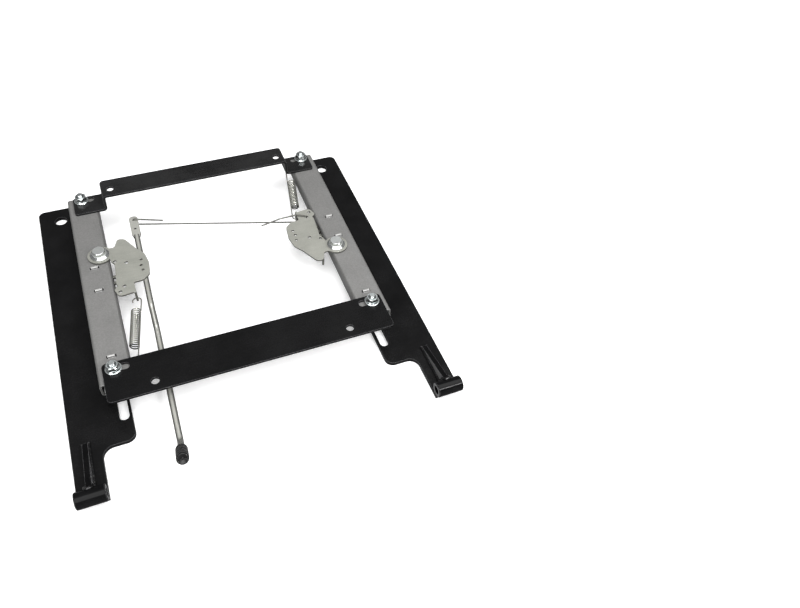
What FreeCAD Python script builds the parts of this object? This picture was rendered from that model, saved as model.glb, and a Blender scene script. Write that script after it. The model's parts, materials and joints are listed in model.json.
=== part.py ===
import FreeCAD, Part
import math
import os

Vector = FreeCAD.Vector

# The two sliders stand this far apart, middle to middle
RAIL_SPACING = 300.0

# Side plates: flat steel strips that lie on the floor, one under each slider
PLATE_THICK = 5.0
PLATE_WIDTH = 66.5
PLATE_INSIDE_RAIL = 6.5
PLATE_BEHIND_RAIL = 27.0
SHOULDER_Y = 57.5
NECK_WIDTH = 30.5
NECK_FRONT_Y = -2.0
PLATE_CORNER_R = 8.0
SHOULDER_R = 10.0
NECK_FILLET_R = 12.0
REAR_HOLE_D = 15.5
REAR_HOLE_FROM_SIDE = 26.5
REAR_HOLE_FROM_REAR = 24.0
PLATE_SLOT_WIDTH = 10.5
PLATE_SLOT_LENGTH = 40.0
PLATE_SLOT_FROM_INSIDE = 8.0
PLATE_SLOT_FROM_SHOULDER = 27.0

# Pivot tubes and their ribs, welded on the front end of each neck
TUBE_OUTER_D = 18.0
TUBE_BORE_D = 10.2
TUBE_CHAMFER = 0.8
RIB_THICK = 6.0
RIB_TAIL_Y = 68.0
RIB_TAIL_HEIGHT = 2.0
RIB_TOP_GAP = 3.0

# Slider rails: a fixed lower channel inside a wider upper channel
RAIL_SHEET = 2.0
UPPER_RAIL_WIDTH = 36.0
UPPER_RAIL_TOP = 30.0
UPPER_RAIL_FRONT_Y = 114.0
RAIL_LENGTH = 314.0
LOWER_RAIL_FRONT_Y = 110.5
BEND_INNER_R = 1.5
LOWER_BEND_INNER_R = 1.0
SLIDE_TRAVEL = 70.0
NOTCH_DEPTH = 2.6

# Balls and the strips that keep them apart
BALL_SEAT = 6.0
BALL_CLEARANCE = 0.1
CAGE_THICK = 1.0
CAGE_SIDE_GAP = 0.4
CAGE_HOLE_PLAY = 0.3
CAGE_END_MARGIN = 7.0
BALL_SPACING = 14.0
FRONT_BALL_FROM_END = 44.5
REAR_BALL_FROM_END = 54.5

# Screws and nuts that hold the lower rails on the plates
SCREW_D = 8.0
SCREW_HEAD_D = 15.0
SCREW_PLAY = 0.4
SCREW_FROM_FRONT = 49.5
SCREW_FROM_REAR = 24.5
THIN_NUT_ACROSS = 13.0
THIN_NUT_HEIGHT = 5.0

# Studs and flange nuts on top of the upper rails
STUD_D = 8.0
STUD_FROM_FRONT = 16.5
STUD_FROM_REAR = 8.5
STUD_HEAD_D = 14.0
STUD_HEAD_HEIGHT = 2.0
STUD_PROUD = 0.8
NUT_FLANGE_D = 17.9
NUT_FLANGE_EDGE = 1.2
NUT_CROWN = 0.6
NUT_ACROSS = 13.0
NUT_HEIGHT = 8.0
THREAD_GAP = 0.05

# Lanced ridges stamped up out of the upper rail top
RIDGE_LENGTH = 9.5
RIDGE_WIDTH = 4.6
RIDGE_HEIGHT = 2.0
RIDGE_SLIT = 1.4
RIDGE_PITCH = 39.0
RIDGE_FRONT_GAP = 11.0

# Front crossbar and rear strap
BAR_THICK = 3.0
BAR_END_PAST_RAIL = 12.0
BAR_WIDTH = 53.0
BAR_REAR_OVER_STUD = 9.5
BAR_CORNER_R = 5.0
SLOT_PLAY = 0.5
BAR_SLOT_LENGTH = 25.0
BAR_SLOT_INSIDE_RAIL = 17.0
SEAT_HOLE_D = 9.0
SEAT_HOLE_X = 111.0
BAR_HOLE_FROM_FRONT = 13.0
STRAP_WIDTH = 32.5
STRAP_REAR_OVER_STUD = 7.0
STRAP_END_PAST_RAIL = 10.5
STRAP_RISER_INSIDE_RAIL = 27.0
STRAP_RISE = 20.5
STRAP_BEND_R = 2.5
STRAP_CORNER_R = 3.5
STRAP_SLOT_LENGTH = 22.5
STRAP_SLOT_INSIDE_RAIL = 15.8
STRAP_HOLE_FROM_REAR = 19.0

# Latch plates, the same stamping on both sides, turned by half a turn
LATCH_THICK = 2.5
LATCH_LIFT = 0.2
PIVOT_FROM_RAIL_SIDE = 9.0
LEFT_PIVOT_Y = 311.0
RIGHT_PIVOT_Y = 237.0
EYE_R = 14.5
PIVOT_D = 10.0
PIVOT_PLAY = 0.1
PIVOT_HEAD_D = 15.5
PIVOT_HEAD_HEIGHT = 4.5
PIVOT_COLLAR_D = 23.0
PIVOT_COLLAR_HEIGHT = 3.0
PIVOT_COLLAR_EDGE = 0.8
PIVOT_TAIL_D = 10.0
PIVOT_TAIL_HEIGHT = 1.8
COMB_GAP = 0.4
COMB_LEAN = 2.6
TOOTH_COUNT = 3
TOOTH_PITCH = 10.0
TOOTH_WIDTH = 4.0
FIRST_TOOTH_FROM_PIVOT = 32.0
TOOTH_TIP_GAP = 0.5
WINDOW_PLAY = 0.7
LATCH_HOLE_D = 4.4
EYE_HOLE_D = 5.0
RIVET_HOLE_D = 3.6
WIRE_HOLE_LOCAL = (20.4, -61.5)
TONGUE_X = 29.3
TONGUE_REAR_Y = -64.5
TONGUE_FRONT_Y = -79.0
TONGUE_DROP = 13.0
TONGUE_ROOT_RUN = 10.0
SPRING_HOLE_Y = -74.0
SPRING_HOLE_DROP = 9.5
STOP_TAB_DROP = 18.5
STOP_TAB_LENGTH = 12.0
STOP_EDGE_START = (17.5, 5.3)
STOP_EDGE_END = (23.4, 21.2)
STOP_TAB_FROM_START = 1.8

# Release lever: a bent rod under the left latch plate, with a rubber grip
LEVER_D = 7.0
LEVER_FROM_PIVOT_X = 46.9
LEVER_SKEW = math.radians(1.48)
LEVER_REAR_Y = 374.0
FLAT_LENGTH = 36.0
FLAT_WIDTH = 11.0
FLAT_THICK = 3.5
FLAT_END_R = 4.9
FLAT_NECK_RUN = 3.0
JOGGLE_REAR_Y = 214.5
JOGGLE_FRONT_Y = 190.0
JOGGLE_DROP = 14.7
LEVER_BEND_R = 14.0
HANDLE_BEND_Y = 29.5
HANDLE_ANGLE = math.radians(45.0)
HANDLE_RUN = 73.0
GRIP_LENGTH = 50.0
GRIP_D = 12.5
GRIP_ROUND = 2.0
GRIP_WALL_GAP = 0.05
GRIP_END_WALL = 3.0
FLAT_HOLE_FROM_END = 7.0
FLAT_HOLE_PITCH = 17.0

# Link wire from the lever's rear end to the right latch plate
WIRE_D = 2.0
WIRE_PLAY = 0.5
WIRE_BEND_R = 2.0
LEFT_TAIL = 38.0
LEFT_TAIL_ASIDE = -2.5
LEFT_HOOK_DROP = 2.5
RIGHT_TAIL = [(14.0, 2.0), (35.0, -5.5), (58.0, -19.0)]

# Return springs
SPRING_D = 12.0
SPRING_WIRE_D = 1.8
SPRING_TURNS = 20
SPRING_PITCH = 3.0
SPRING_ELBOW_R = 2.0
SPRING_HOOK_LEG = 8.0
SPRING_CURL = math.radians(30.0)
SPRING_WALL_GAP = 1.0
SPRING_HOLE_D = 3.0
SPRING_ANCHOR_Y = -187.0
SPRING_TIP_PROUD = 0.1

TINY = 0.01


# Helpers for outlines and sheet sections
def on_floor(height):
    """Place a flat outline at this height."""
    return lambda u, v: Vector(u, v, height)


def across(y):
    """Place a section, seen from the front, at this distance to the rear."""
    return lambda u, v: Vector(u, y, v)


def rounded_wire(corners, place):
    """Closed outline of straight sides; each corner is (u, v, radius)."""
    joints = []
    for i, (u, v, radius) in enumerate(corners):
        here = place(u, v)
        before = place(*corners[i - 1][:2]) - here
        after = place(*corners[(i + 1) % len(corners)][:2]) - here
        if radius == 0:
            joints.append((here, None, here))
            continue
        before.normalize()
        after.normalize()
        half = before.getAngle(after) / 2
        reach = radius / math.tan(half)
        inward = (before + after).normalize()
        middle = here + inward * (radius / math.sin(half) - radius)
        joints.append((here + before * reach, middle, here + after * reach))
    edges = []
    for i, (start, middle, stop) in enumerate(joints):
        if middle is not None:
            edges.append(Part.Arc(start, middle, stop).toShape())
        following = joints[(i + 1) % len(joints)][0]
        if (following - stop).Length > TINY:
            edges.append(Part.LineSegment(stop, following).toShape())
    return Part.Wire(edges)


def slab(corners, thick, height=0.0):
    """Flat plate with this outline, its underside at this height."""
    face = Part.Face(rounded_wire(corners, on_floor(height)))
    return face.extrude(Vector(0, 0, thick))


def sheet_outline(path, thick, inner_radius):
    """Outline of a bent sheet from its middle line, with true bend radii."""
    left = []
    right = []
    last = len(path) - 1
    for i, (u, v) in enumerate(path):
        ways = []
        if i > 0:
            ways.append((u - path[i - 1][0], v - path[i - 1][1]))
        if i < last:
            ways.append((path[i + 1][0] - u, path[i + 1][1] - v))
        units = [(a / math.hypot(a, b), b / math.hypot(a, b)) for a, b in ways]
        first, second = units[0], units[-1]
        stretch = 1 + first[0] * second[0] + first[1] * second[1]
        mitre_u = -(first[1] + second[1]) / stretch * thick / 2
        mitre_v = (first[0] + second[0]) / stretch * thick / 2
        turn = first[0] * second[1] - first[1] * second[0]
        if abs(turn) < TINY:
            left_radius = right_radius = 0
        elif turn > 0:
            left_radius, right_radius = inner_radius, inner_radius + thick
        else:
            left_radius, right_radius = inner_radius + thick, inner_radius
        left.append((u + mitre_u, v + mitre_v, left_radius))
        right.append((u - mitre_u, v - mitre_v, right_radius))
    return left + right[::-1]


def rod(diameter, start, stop):
    """Round bar between two points."""
    way = stop - start
    return Part.makeCylinder(diameter / 2, way.Length, start, way)


def box(low, high):
    """Block between its lowest and highest corners."""
    size = high - low
    return Part.makeBox(size.x, size.y, size.z, low)


def slot_cutter(x, y, width, length, low, high, along_x):
    """Round-ended slot, centred on x and y, through the heights low to high."""
    run = (length - width) / 2
    step = Vector(run, 0, 0) if along_x else Vector(0, run, 0)
    side = Vector(0, width / 2, 0) if along_x else Vector(width / 2, 0, 0)
    middle = Vector(x, y, low)
    tall = Vector(0, 0, high - low)
    ends = [rod(width, middle + step, middle + step + tall), rod(width, middle - step, middle - step + tall)]
    return box(middle - step - side, middle + step + side + tall).multiFuse(ends).removeSplitter()


def turned(shape, degrees, x, y):
    """Turn a shape about an upright line."""
    copy = shape.copy()
    copy.rotate(Vector(x, y, 0), Vector(0, 0, 1), degrees)
    return copy


def mirrored(shape):
    """Same piece on the other side of the middle plane."""
    return shape.mirror(Vector(0, 0, 0), Vector(1, 0, 0))


def hexagon(across_flats, height, x, y, z):
    """Hexagonal prism, its corners to front and rear."""
    corner = across_flats / math.sqrt(3)
    points = [(x + corner * math.sin(math.radians(60 * i)), y + corner * math.cos(math.radians(60 * i)), 0)
              for i in range(6)]
    return slab(points, height, z)


def bent_rod(points, diameter, radius):
    """Round rod along straight runs joined by tangent arcs of one radius."""
    edges = []
    start = points[0]
    for i in range(1, len(points) - 1):
        here = points[i]
        back = (points[i - 1] - here).normalize()
        onward = (points[i + 1] - here).normalize()
        half = back.getAngle(onward) / 2
        reach = radius / math.tan(half)
        middle = here + (back + onward).normalize() * (radius / math.sin(half) - radius)
        enter = here + back * reach
        leave = here + onward * reach
        edges.append(Part.LineSegment(start, enter).toShape())
        edges.append(Part.Arc(enter, middle, leave).toShape())
        start = leave
    edges.append(Part.LineSegment(start, points[-1]).toShape())
    return swept(edges, diameter)


def swept(edges, diameter):
    """Round section carried along joined edges."""
    path = Part.Wire(edges)
    first = path.OrderedEdges[0]
    start = first.valueAt(first.FirstParameter)
    way = first.tangentAt(first.FirstParameter)
    section = Part.Wire([Part.makeCircle(diameter / 2, start, way)])
    return path.makePipeShell([section], True, False)


# Heights and places that follow from the sizes above
RAIL_X = RAIL_SPACING / 2
UPPER_RAIL_REAR_Y = UPPER_RAIL_FRONT_Y + RAIL_LENGTH
LOWER_RAIL_REAR_Y = LOWER_RAIL_FRONT_Y + RAIL_LENGTH
PLATE_TOP = PLATE_THICK
PLATE_INNER_X = RAIL_X - PLATE_INSIDE_RAIL
PLATE_OUTER_X = PLATE_INNER_X + PLATE_WIDTH
PLATE_REAR_Y = LOWER_RAIL_REAR_Y + PLATE_BEHIND_RAIL
REAR_HOLE_X = PLATE_OUTER_X - REAR_HOLE_FROM_SIDE
REAR_HOLE_Y = PLATE_REAR_Y - REAR_HOLE_FROM_REAR
PLATE_SLOT_X = PLATE_INNER_X + PLATE_SLOT_FROM_INSIDE
PLATE_SLOT_FRONT_Y = SHOULDER_Y + PLATE_SLOT_FROM_SHOULDER
NECK_INNER_X = PLATE_OUTER_X - NECK_WIDTH
NECK_MIDDLE_X = PLATE_OUTER_X - NECK_WIDTH / 2
TUBE_Z = PLATE_TOP + TUBE_OUTER_D / 2
RAIL_TOP_Z = PLATE_TOP + UPPER_RAIL_TOP
BAR_TOP_Z = RAIL_TOP_Z + BAR_THICK
UPPER_INNER_HALF = UPPER_RAIL_WIDTH / 2 - RAIL_SHEET
BALL_X = UPPER_INNER_HALF - BALL_SEAT / 2
LOWER_RAIL_HALF = BALL_X - BALL_SEAT / 2
UPPER_BALL_Z = UPPER_RAIL_TOP - RAIL_SHEET - BALL_SEAT / 2
LOWER_BALL_Z = UPPER_BALL_Z - BALL_SEAT - RAIL_SHEET
FLANGE_TOP = UPPER_BALL_Z - BALL_SEAT / 2
UPPER_LIP_TOP = LOWER_BALL_Z - BALL_SEAT / 2
CAGE_OUTER = UPPER_INNER_HALF - CAGE_SIDE_GAP
CAGE_INNER = CAGE_OUTER - CAGE_THICK
FLANGE_REACH = CAGE_INNER - CAGE_SIDE_GAP
FRONT_BALL_Y = LOWER_RAIL_FRONT_Y + FRONT_BALL_FROM_END
REAR_BALL_Y = LOWER_RAIL_REAR_Y - REAR_BALL_FROM_END
SCREW_ROWS_Y = (LOWER_RAIL_FRONT_Y + SCREW_FROM_FRONT, LOWER_RAIL_REAR_Y - SCREW_FROM_REAR)
STUD_FRONT_Y = UPPER_RAIL_FRONT_Y + STUD_FROM_FRONT
STUD_REAR_Y = UPPER_RAIL_REAR_Y - STUD_FROM_REAR
RIDGE_MIDDLE_Y = (LEFT_PIVOT_Y + RIGHT_PIVOT_Y) / 2
BAR_REAR_Y = STUD_FRONT_Y + BAR_REAR_OVER_STUD
BAR_FRONT_Y = BAR_REAR_Y - BAR_WIDTH
STRAP_REAR_Y = STUD_REAR_Y + STRAP_REAR_OVER_STUD
STRAP_FRONT_Y = STRAP_REAR_Y - STRAP_WIDTH
BAR_END_X = RAIL_X + BAR_END_PAST_RAIL
STRAP_END_X = RAIL_X + STRAP_END_PAST_RAIL
STRAP_RISER_X = RAIL_X - STRAP_RISER_INSIDE_RAIL
PIVOT_INSIDE_RAIL = UPPER_RAIL_WIDTH / 2 - PIVOT_FROM_RAIL_SIDE
PIVOT_X = RAIL_X - PIVOT_INSIDE_RAIL
SLOT_WIDTH = STUD_D + 2 * SLOT_PLAY
LATCH_Z = RAIL_TOP_Z + LATCH_LIFT
LATCH_TOP_Z = LATCH_Z + LATCH_THICK
COMB_EDGE = PIVOT_FROM_RAIL_SIDE + COMB_GAP
COMB_REAR_Y = TOOTH_WIDTH / 2 - FIRST_TOOTH_FROM_PIVOT
COMB_FRONT_Y = COMB_REAR_Y - TOOTH_WIDTH - (TOOTH_COUNT - 1) * TOOTH_PITCH
TOOTH_TIP_X = FLANGE_REACH - PIVOT_INSIDE_RAIL + TOOTH_TIP_GAP
LEVER_Z = LATCH_Z - LEVER_D / 2
LOW_LEVER_Z = LEVER_Z - JOGGLE_DROP
FLAT_FRONT_Y = LEVER_REAR_Y - FLAT_LENGTH
WIRE_RIGHT_Z = LEVER_Z - FLAT_THICK / 2 - WIRE_PLAY - WIRE_D / 2
WIRE_LEFT_Z = WIRE_RIGHT_Z - LEFT_HOOK_DROP
LEFT_TAIL_Z = LEVER_Z + FLAT_THICK / 2 + WIRE_PLAY + WIRE_D / 2
RIGHT_TAIL_Z = LATCH_TOP_Z + WIRE_PLAY + WIRE_D / 2
TOOTH_Z = PLATE_TOP + FLANGE_TOP - (RAIL_SHEET + LATCH_THICK) / 2


def lever_x(y):
    """Middle line of the lever seen from above, where it stands at rest."""
    return -PIVOT_X + LEVER_FROM_PIVOT_X + math.tan(LEVER_SKEW) * (y - LEFT_PIVOT_Y)


# Base: plates, tubes, ribs, lower rails and their screws
def right_side_plate():
    """Strip with a shoulder and a narrow neck in front, drilled and slotted."""
    outline = [
        (PLATE_OUTER_X, NECK_FRONT_Y, 0),
        (PLATE_OUTER_X, PLATE_REAR_Y, PLATE_CORNER_R),
        (PLATE_INNER_X, PLATE_REAR_Y, PLATE_CORNER_R),
        (PLATE_INNER_X, SHOULDER_Y, SHOULDER_R),
        (NECK_INNER_X, SHOULDER_Y, NECK_FILLET_R),
        (NECK_INNER_X, NECK_FRONT_Y, 0),
    ]
    plate = slab(outline, PLATE_THICK)
    hole = rod(REAR_HOLE_D, Vector(REAR_HOLE_X, REAR_HOLE_Y, -1), Vector(REAR_HOLE_X, REAR_HOLE_Y, PLATE_TOP + 1))
    slot_y = PLATE_SLOT_FRONT_Y + PLATE_SLOT_LENGTH / 2
    slot = slot_cutter(PLATE_SLOT_X, slot_y, PLATE_SLOT_WIDTH, PLATE_SLOT_LENGTH, -1, PLATE_TOP + 1, False)
    cutters = [hole, slot]
    for y in SCREW_ROWS_Y:
        cutters.append(rail_screw(y, SCREW_PLAY, PLATE_TOP + 1))
    return plate.cut(Part.makeCompound(cutters))


def rail_screw(y, play, top):
    """Countersunk screw with its head flush in the underside of the plate."""
    head_r = SCREW_HEAD_D / 2 + play
    shank_r = SCREW_D / 2 + play
    cone = Part.makeCone(head_r, shank_r, head_r - shank_r, Vector(RAIL_X, y, 0))
    return cone.fuse(rod(2 * shank_r, Vector(RAIL_X, y, 0), Vector(RAIL_X, y, top))).removeSplitter()


def rail_nut(y):
    """Thin nut inside the lower rail."""
    seat = PLATE_TOP + RAIL_SHEET
    nut = hexagon(THIN_NUT_ACROSS, THIN_NUT_HEIGHT, RAIL_X, y, seat)
    bore = rod(SCREW_D + 2 * THREAD_GAP, Vector(RAIL_X, y, 0), Vector(RAIL_X, y, RAIL_TOP_Z))
    return nut.cut(bore)


def right_pivot_tube():
    """Short thick tube across the neck, chamfered at both ends."""
    start = Vector(NECK_INNER_X, 0, TUBE_Z)
    stop = Vector(PLATE_OUTER_X, 0, TUBE_Z)
    body = rod(TUBE_OUTER_D, start, stop)
    rims = [edge for edge in body.Edges if edge.Curve.TypeId == "Part::GeomCircle"]
    body = body.makeChamfer(TUBE_CHAMFER, rims)
    reach = Vector(1, 0, 0)
    return body.cut(rod(TUBE_BORE_D, start - reach, stop + reach))


def right_gusset():
    """Upright rib that rises along the neck to the back of the tube."""
    top = TUBE_Z + TUBE_OUTER_D / 2 - RIB_TOP_GAP
    side = [
        Vector(0, 0, PLATE_TOP),
        Vector(0, RIB_TAIL_Y, PLATE_TOP),
        Vector(0, RIB_TAIL_Y, PLATE_TOP + RIB_TAIL_HEIGHT),
        Vector(0, TUBE_OUTER_D / 2, top),
        Vector(0, 0, top),
        Vector(0, 0, PLATE_TOP),
    ]
    rib = Part.Face(Part.makePolygon(side)).extrude(Vector(RIB_THICK, 0, 0))
    rib.translate(Vector(NECK_MIDDLE_X - RIB_THICK / 2, 0, 0))
    tube = rod(TUBE_OUTER_D, Vector(NECK_INNER_X, 0, TUBE_Z), Vector(PLATE_OUTER_X, 0, TUBE_Z))
    pieces = rib.cut(tube).Solids
    return max(pieces, key=lambda piece: piece.Volume)


def lock_notches_y(pivot_y, way):
    """Places of the lower rail notches that the latch teeth can drop into."""
    middle = pivot_y + way * (FIRST_TOOTH_FROM_PIVOT + (TOOTH_COUNT - 1) * TOOTH_PITCH / 2)
    count = int(2 * SLIDE_TRAVEL / TOOTH_PITCH) + TOOTH_COUNT
    first = middle - (count - 1) * TOOTH_PITCH / 2
    return [first + i * TOOTH_PITCH for i in range(count)]


def lower_rail(side, pivot_y, way):
    """Fixed channel with outward flanges and a row of lock notches in the inner one."""
    wall = LOWER_RAIL_HALF - RAIL_SHEET / 2
    flange = FLANGE_TOP - RAIL_SHEET / 2
    path = [
        (-FLANGE_REACH, flange),
        (-wall, flange),
        (-wall, RAIL_SHEET / 2),
        (wall, RAIL_SHEET / 2),
        (wall, flange),
        (FLANGE_REACH, flange),
    ]
    outline = sheet_outline(path, RAIL_SHEET, LOWER_BEND_INNER_R)
    face = Part.Face(rounded_wire(outline, across(LOWER_RAIL_FRONT_Y)))
    rail = face.extrude(Vector(0, RAIL_LENGTH, 0))
    rail.translate(Vector(side * RAIL_X, 0, PLATE_TOP))
    cutters = []
    flange_edge = side * (RAIL_X - FLANGE_REACH)
    near = min(flange_edge - side, flange_edge + side * NOTCH_DEPTH)
    far = max(flange_edge - side, flange_edge + side * NOTCH_DEPTH)
    low = PLATE_TOP + FLANGE_TOP - RAIL_SHEET - 1
    high = PLATE_TOP + FLANGE_TOP + 1
    half = TOOTH_WIDTH / 2 + WINDOW_PLAY
    for y in lock_notches_y(pivot_y, way):
        cutters.append(box(Vector(near, y - half, low), Vector(far, y + half, high)))
    for y in SCREW_ROWS_Y:
        here = Vector(side * RAIL_X, y, 0)
        cutters.append(rod(SCREW_D + 2 * SCREW_PLAY, here, here + Vector(0, 0, PLATE_TOP + RAIL_SHEET + 1)))
    return rail.cut(Part.makeCompound(cutters))


# Upper frame: rails, studs, nuts, crossbar, strap and pivot bolts
def lanced_ridge(x, y):
    """Ridge pressed up out of the rail top, with a slit at each end."""
    low = RAIL_TOP_Z - RAIL_SHEET - 1
    high = RAIL_TOP_Z + RIDGE_HEIGHT + 1
    radius = (RIDGE_WIDTH ** 2 / 4 + RIDGE_HEIGHT ** 2) / (2 * RIDGE_HEIGHT)
    centre_z = RAIL_TOP_Z + RIDGE_HEIGHT - radius
    half = RIDGE_LENGTH / 2
    bar = rod(2 * radius, Vector(x - half, y, centre_z), Vector(x + half, y, centre_z))
    keep = box(Vector(x - half, y - RIDGE_WIDTH, RAIL_TOP_Z - TINY), Vector(x + half, y + RIDGE_WIDTH, high))
    slits = []
    for way in (-1, 1):
        end = x + way * half
        slits.append(box(Vector(end - RIDGE_SLIT / 2, y - RIDGE_WIDTH / 2, low),
                         Vector(end + RIDGE_SLIT / 2, y + RIDGE_WIDTH / 2, high)))
    return bar.common(keep), slits


def upper_rail(side, pivot_y, way):
    """Sliding channel that wraps the lower rail, with lips under the lower balls."""
    wall = UPPER_RAIL_WIDTH / 2 - RAIL_SHEET / 2
    lip = UPPER_LIP_TOP - RAIL_SHEET / 2
    top = UPPER_RAIL_TOP - RAIL_SHEET / 2
    reach = LOWER_RAIL_HALF + 2 * CAGE_SIDE_GAP
    path = [(-reach, lip), (-wall, lip), (-wall, top), (wall, top), (wall, lip), (reach, lip)]
    outline = sheet_outline(path, RAIL_SHEET, BEND_INNER_R)
    face = Part.Face(rounded_wire(outline, across(UPPER_RAIL_FRONT_Y)))
    rail = face.extrude(Vector(0, RAIL_LENGTH, 0))
    rail.translate(Vector(side * RAIL_X, 0, PLATE_TOP))
    ridges = []
    cutters = []
    for y in (BAR_REAR_Y + RIDGE_FRONT_GAP, RIDGE_MIDDLE_Y - RIDGE_PITCH / 2, RIDGE_MIDDLE_Y + RIDGE_PITCH / 2):
        ridge, slits = lanced_ridge(side * RAIL_X, y)
        ridges.append(ridge)
        cutters += slits
    teeth_near = pivot_y + way * (FIRST_TOOTH_FROM_PIVOT - TOOTH_PITCH / 2)
    teeth_far = pivot_y + way * (FIRST_TOOTH_FROM_PIVOT + (TOOTH_COUNT - 0.5) * TOOTH_PITCH)
    inner = side * (RAIL_X - UPPER_RAIL_WIDTH / 2)
    near = min(inner - side, inner + side * (RAIL_SHEET + 1))
    far = max(inner - side, inner + side * (RAIL_SHEET + 1))
    cutters.append(box(Vector(near, min(teeth_near, teeth_far), TOOTH_Z - WINDOW_PLAY),
                       Vector(far, max(teeth_near, teeth_far), TOOTH_Z + LATCH_THICK + WINDOW_PLAY)))
    cutters.append(spring_anchor(side, pivot_y, way))
    for y in (STUD_FRONT_Y, STUD_REAR_Y):
        here = Vector(side * RAIL_X, y, PLATE_TOP + UPPER_RAIL_TOP / 2)
        cutters.append(rod(STUD_D + 2 * THREAD_GAP, here, here + Vector(0, 0, UPPER_RAIL_TOP)))
    here = Vector(side * PIVOT_X, pivot_y, PLATE_TOP + UPPER_RAIL_TOP / 2)
    cutters.append(rod(PIVOT_TAIL_D - 2, here, here + Vector(0, 0, UPPER_RAIL_TOP)))
    return rail.multiFuse(ridges).cut(Part.makeCompound(cutters)).removeSplitter()


def rail_stud(side, y):
    """Pressed-in stud whose flat head sits under the rail top."""
    under = RAIL_TOP_Z - RAIL_SHEET
    here = Vector(side * RAIL_X, y, under)
    head = rod(STUD_HEAD_D, here - Vector(0, 0, STUD_HEAD_HEIGHT), here)
    top = BAR_TOP_Z + NUT_HEIGHT + STUD_PROUD
    shank = rod(STUD_D, here, Vector(side * RAIL_X, y, top))
    rim = [edge for edge in shank.Edges if edge.Curve.TypeId == "Part::GeomCircle"
           and edge.Curve.Center.z > top - TINY]
    return head.fuse(shank.makeChamfer(STUD_D / 10, rim)).removeSplitter()


def flange_nut(side, y):
    """Hexagon nut on a sloped round flange."""
    x = side * RAIL_X
    flange_r = NUT_FLANGE_D / 2
    rise = (NUT_FLANGE_D - NUT_ACROSS) / 4 + NUT_FLANGE_EDGE
    profile = [
        Vector(0, 0, 0),
        Vector(flange_r, 0, 0),
        Vector(flange_r, 0, NUT_FLANGE_EDGE),
        Vector(NUT_ACROSS / 2 - 1, 0, rise + 1),
        Vector(0, 0, rise + 1),
        Vector(0, 0, 0),
    ]
    flange = Part.Face(Part.makePolygon(profile)).revolve(Vector(0, 0, 0), Vector(0, 0, 1), 360)
    flange.translate(Vector(x, y, BAR_TOP_Z))
    head = hexagon(NUT_ACROSS, NUT_HEIGHT, x, y, BAR_TOP_Z)
    top_r = NUT_ACROSS / 2 - NUT_CROWN
    crown = Part.makeCone(top_r + 2 * NUT_HEIGHT, top_r, NUT_HEIGHT, Vector(x, y, BAR_TOP_Z))
    bore = rod(STUD_D + 2 * THREAD_GAP, Vector(x, y, 0), Vector(x, y, BAR_TOP_Z + 2 * NUT_HEIGHT))
    return head.common(crown).fuse(flange).cut(bore).removeSplitter()


def front_crossbar():
    """Flat bar across both rails, with a stud slot and a seat hole at each end."""
    outline = [
        (-BAR_END_X, BAR_FRONT_Y, BAR_CORNER_R),
        (BAR_END_X, BAR_FRONT_Y, BAR_CORNER_R),
        (BAR_END_X, BAR_REAR_Y, BAR_CORNER_R),
        (-BAR_END_X, BAR_REAR_Y, BAR_CORNER_R),
    ]
    bar = slab(outline, BAR_THICK, RAIL_TOP_Z)
    low = RAIL_TOP_Z - 1
    high = BAR_TOP_Z + 1
    cutters = []
    for side in (-1, 1):
        slot_x = side * (RAIL_X - BAR_SLOT_INSIDE_RAIL + BAR_SLOT_LENGTH / 2)
        cutters.append(slot_cutter(slot_x, STUD_FRONT_Y, SLOT_WIDTH, BAR_SLOT_LENGTH, low, high, True))
        hole_y = BAR_FRONT_Y + BAR_HOLE_FROM_FRONT
        cutters.append(rod(SEAT_HOLE_D, Vector(side * SEAT_HOLE_X, hole_y, low), Vector(side * SEAT_HOLE_X, hole_y, high)))
    return bar.cut(Part.makeCompound(cutters))


def rear_strap():
    """Strap stepped up between its two end tabs, bent from one flat bar."""
    tab = RAIL_TOP_Z + BAR_THICK / 2
    raised = tab + STRAP_RISE
    riser = STRAP_RISER_X - BAR_THICK / 2
    path = [(-STRAP_END_X, tab), (-riser, tab), (-riser, raised), (riser, raised), (riser, tab), (STRAP_END_X, tab)]
    outline = sheet_outline(path, BAR_THICK, STRAP_BEND_R)
    face = Part.Face(rounded_wire(outline, across(STRAP_FRONT_Y)))
    strap = face.extrude(Vector(0, STRAP_WIDTH, 0))
    rounded = slab([
        (-STRAP_END_X, STRAP_FRONT_Y, STRAP_CORNER_R),
        (STRAP_END_X, STRAP_FRONT_Y, STRAP_CORNER_R),
        (STRAP_END_X, STRAP_REAR_Y, STRAP_CORNER_R),
        (-STRAP_END_X, STRAP_REAR_Y, STRAP_CORNER_R),
    ], STRAP_RISE + 4 * BAR_THICK, RAIL_TOP_Z - BAR_THICK)
    low = RAIL_TOP_Z - 1
    cutters = []
    for side in (-1, 1):
        slot_x = side * (RAIL_X - STRAP_SLOT_INSIDE_RAIL + STRAP_SLOT_LENGTH / 2)
        cutters.append(slot_cutter(slot_x, STUD_REAR_Y, SLOT_WIDTH, STRAP_SLOT_LENGTH, low, BAR_TOP_Z + 1, True))
        hole_y = STRAP_REAR_Y - STRAP_HOLE_FROM_REAR
        cutters.append(rod(SEAT_HOLE_D, Vector(side * SEAT_HOLE_X, hole_y, low),
                           Vector(side * SEAT_HOLE_X, hole_y, raised + BAR_THICK)))
    return strap.common(rounded).cut(Part.makeCompound(cutters))


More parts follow.
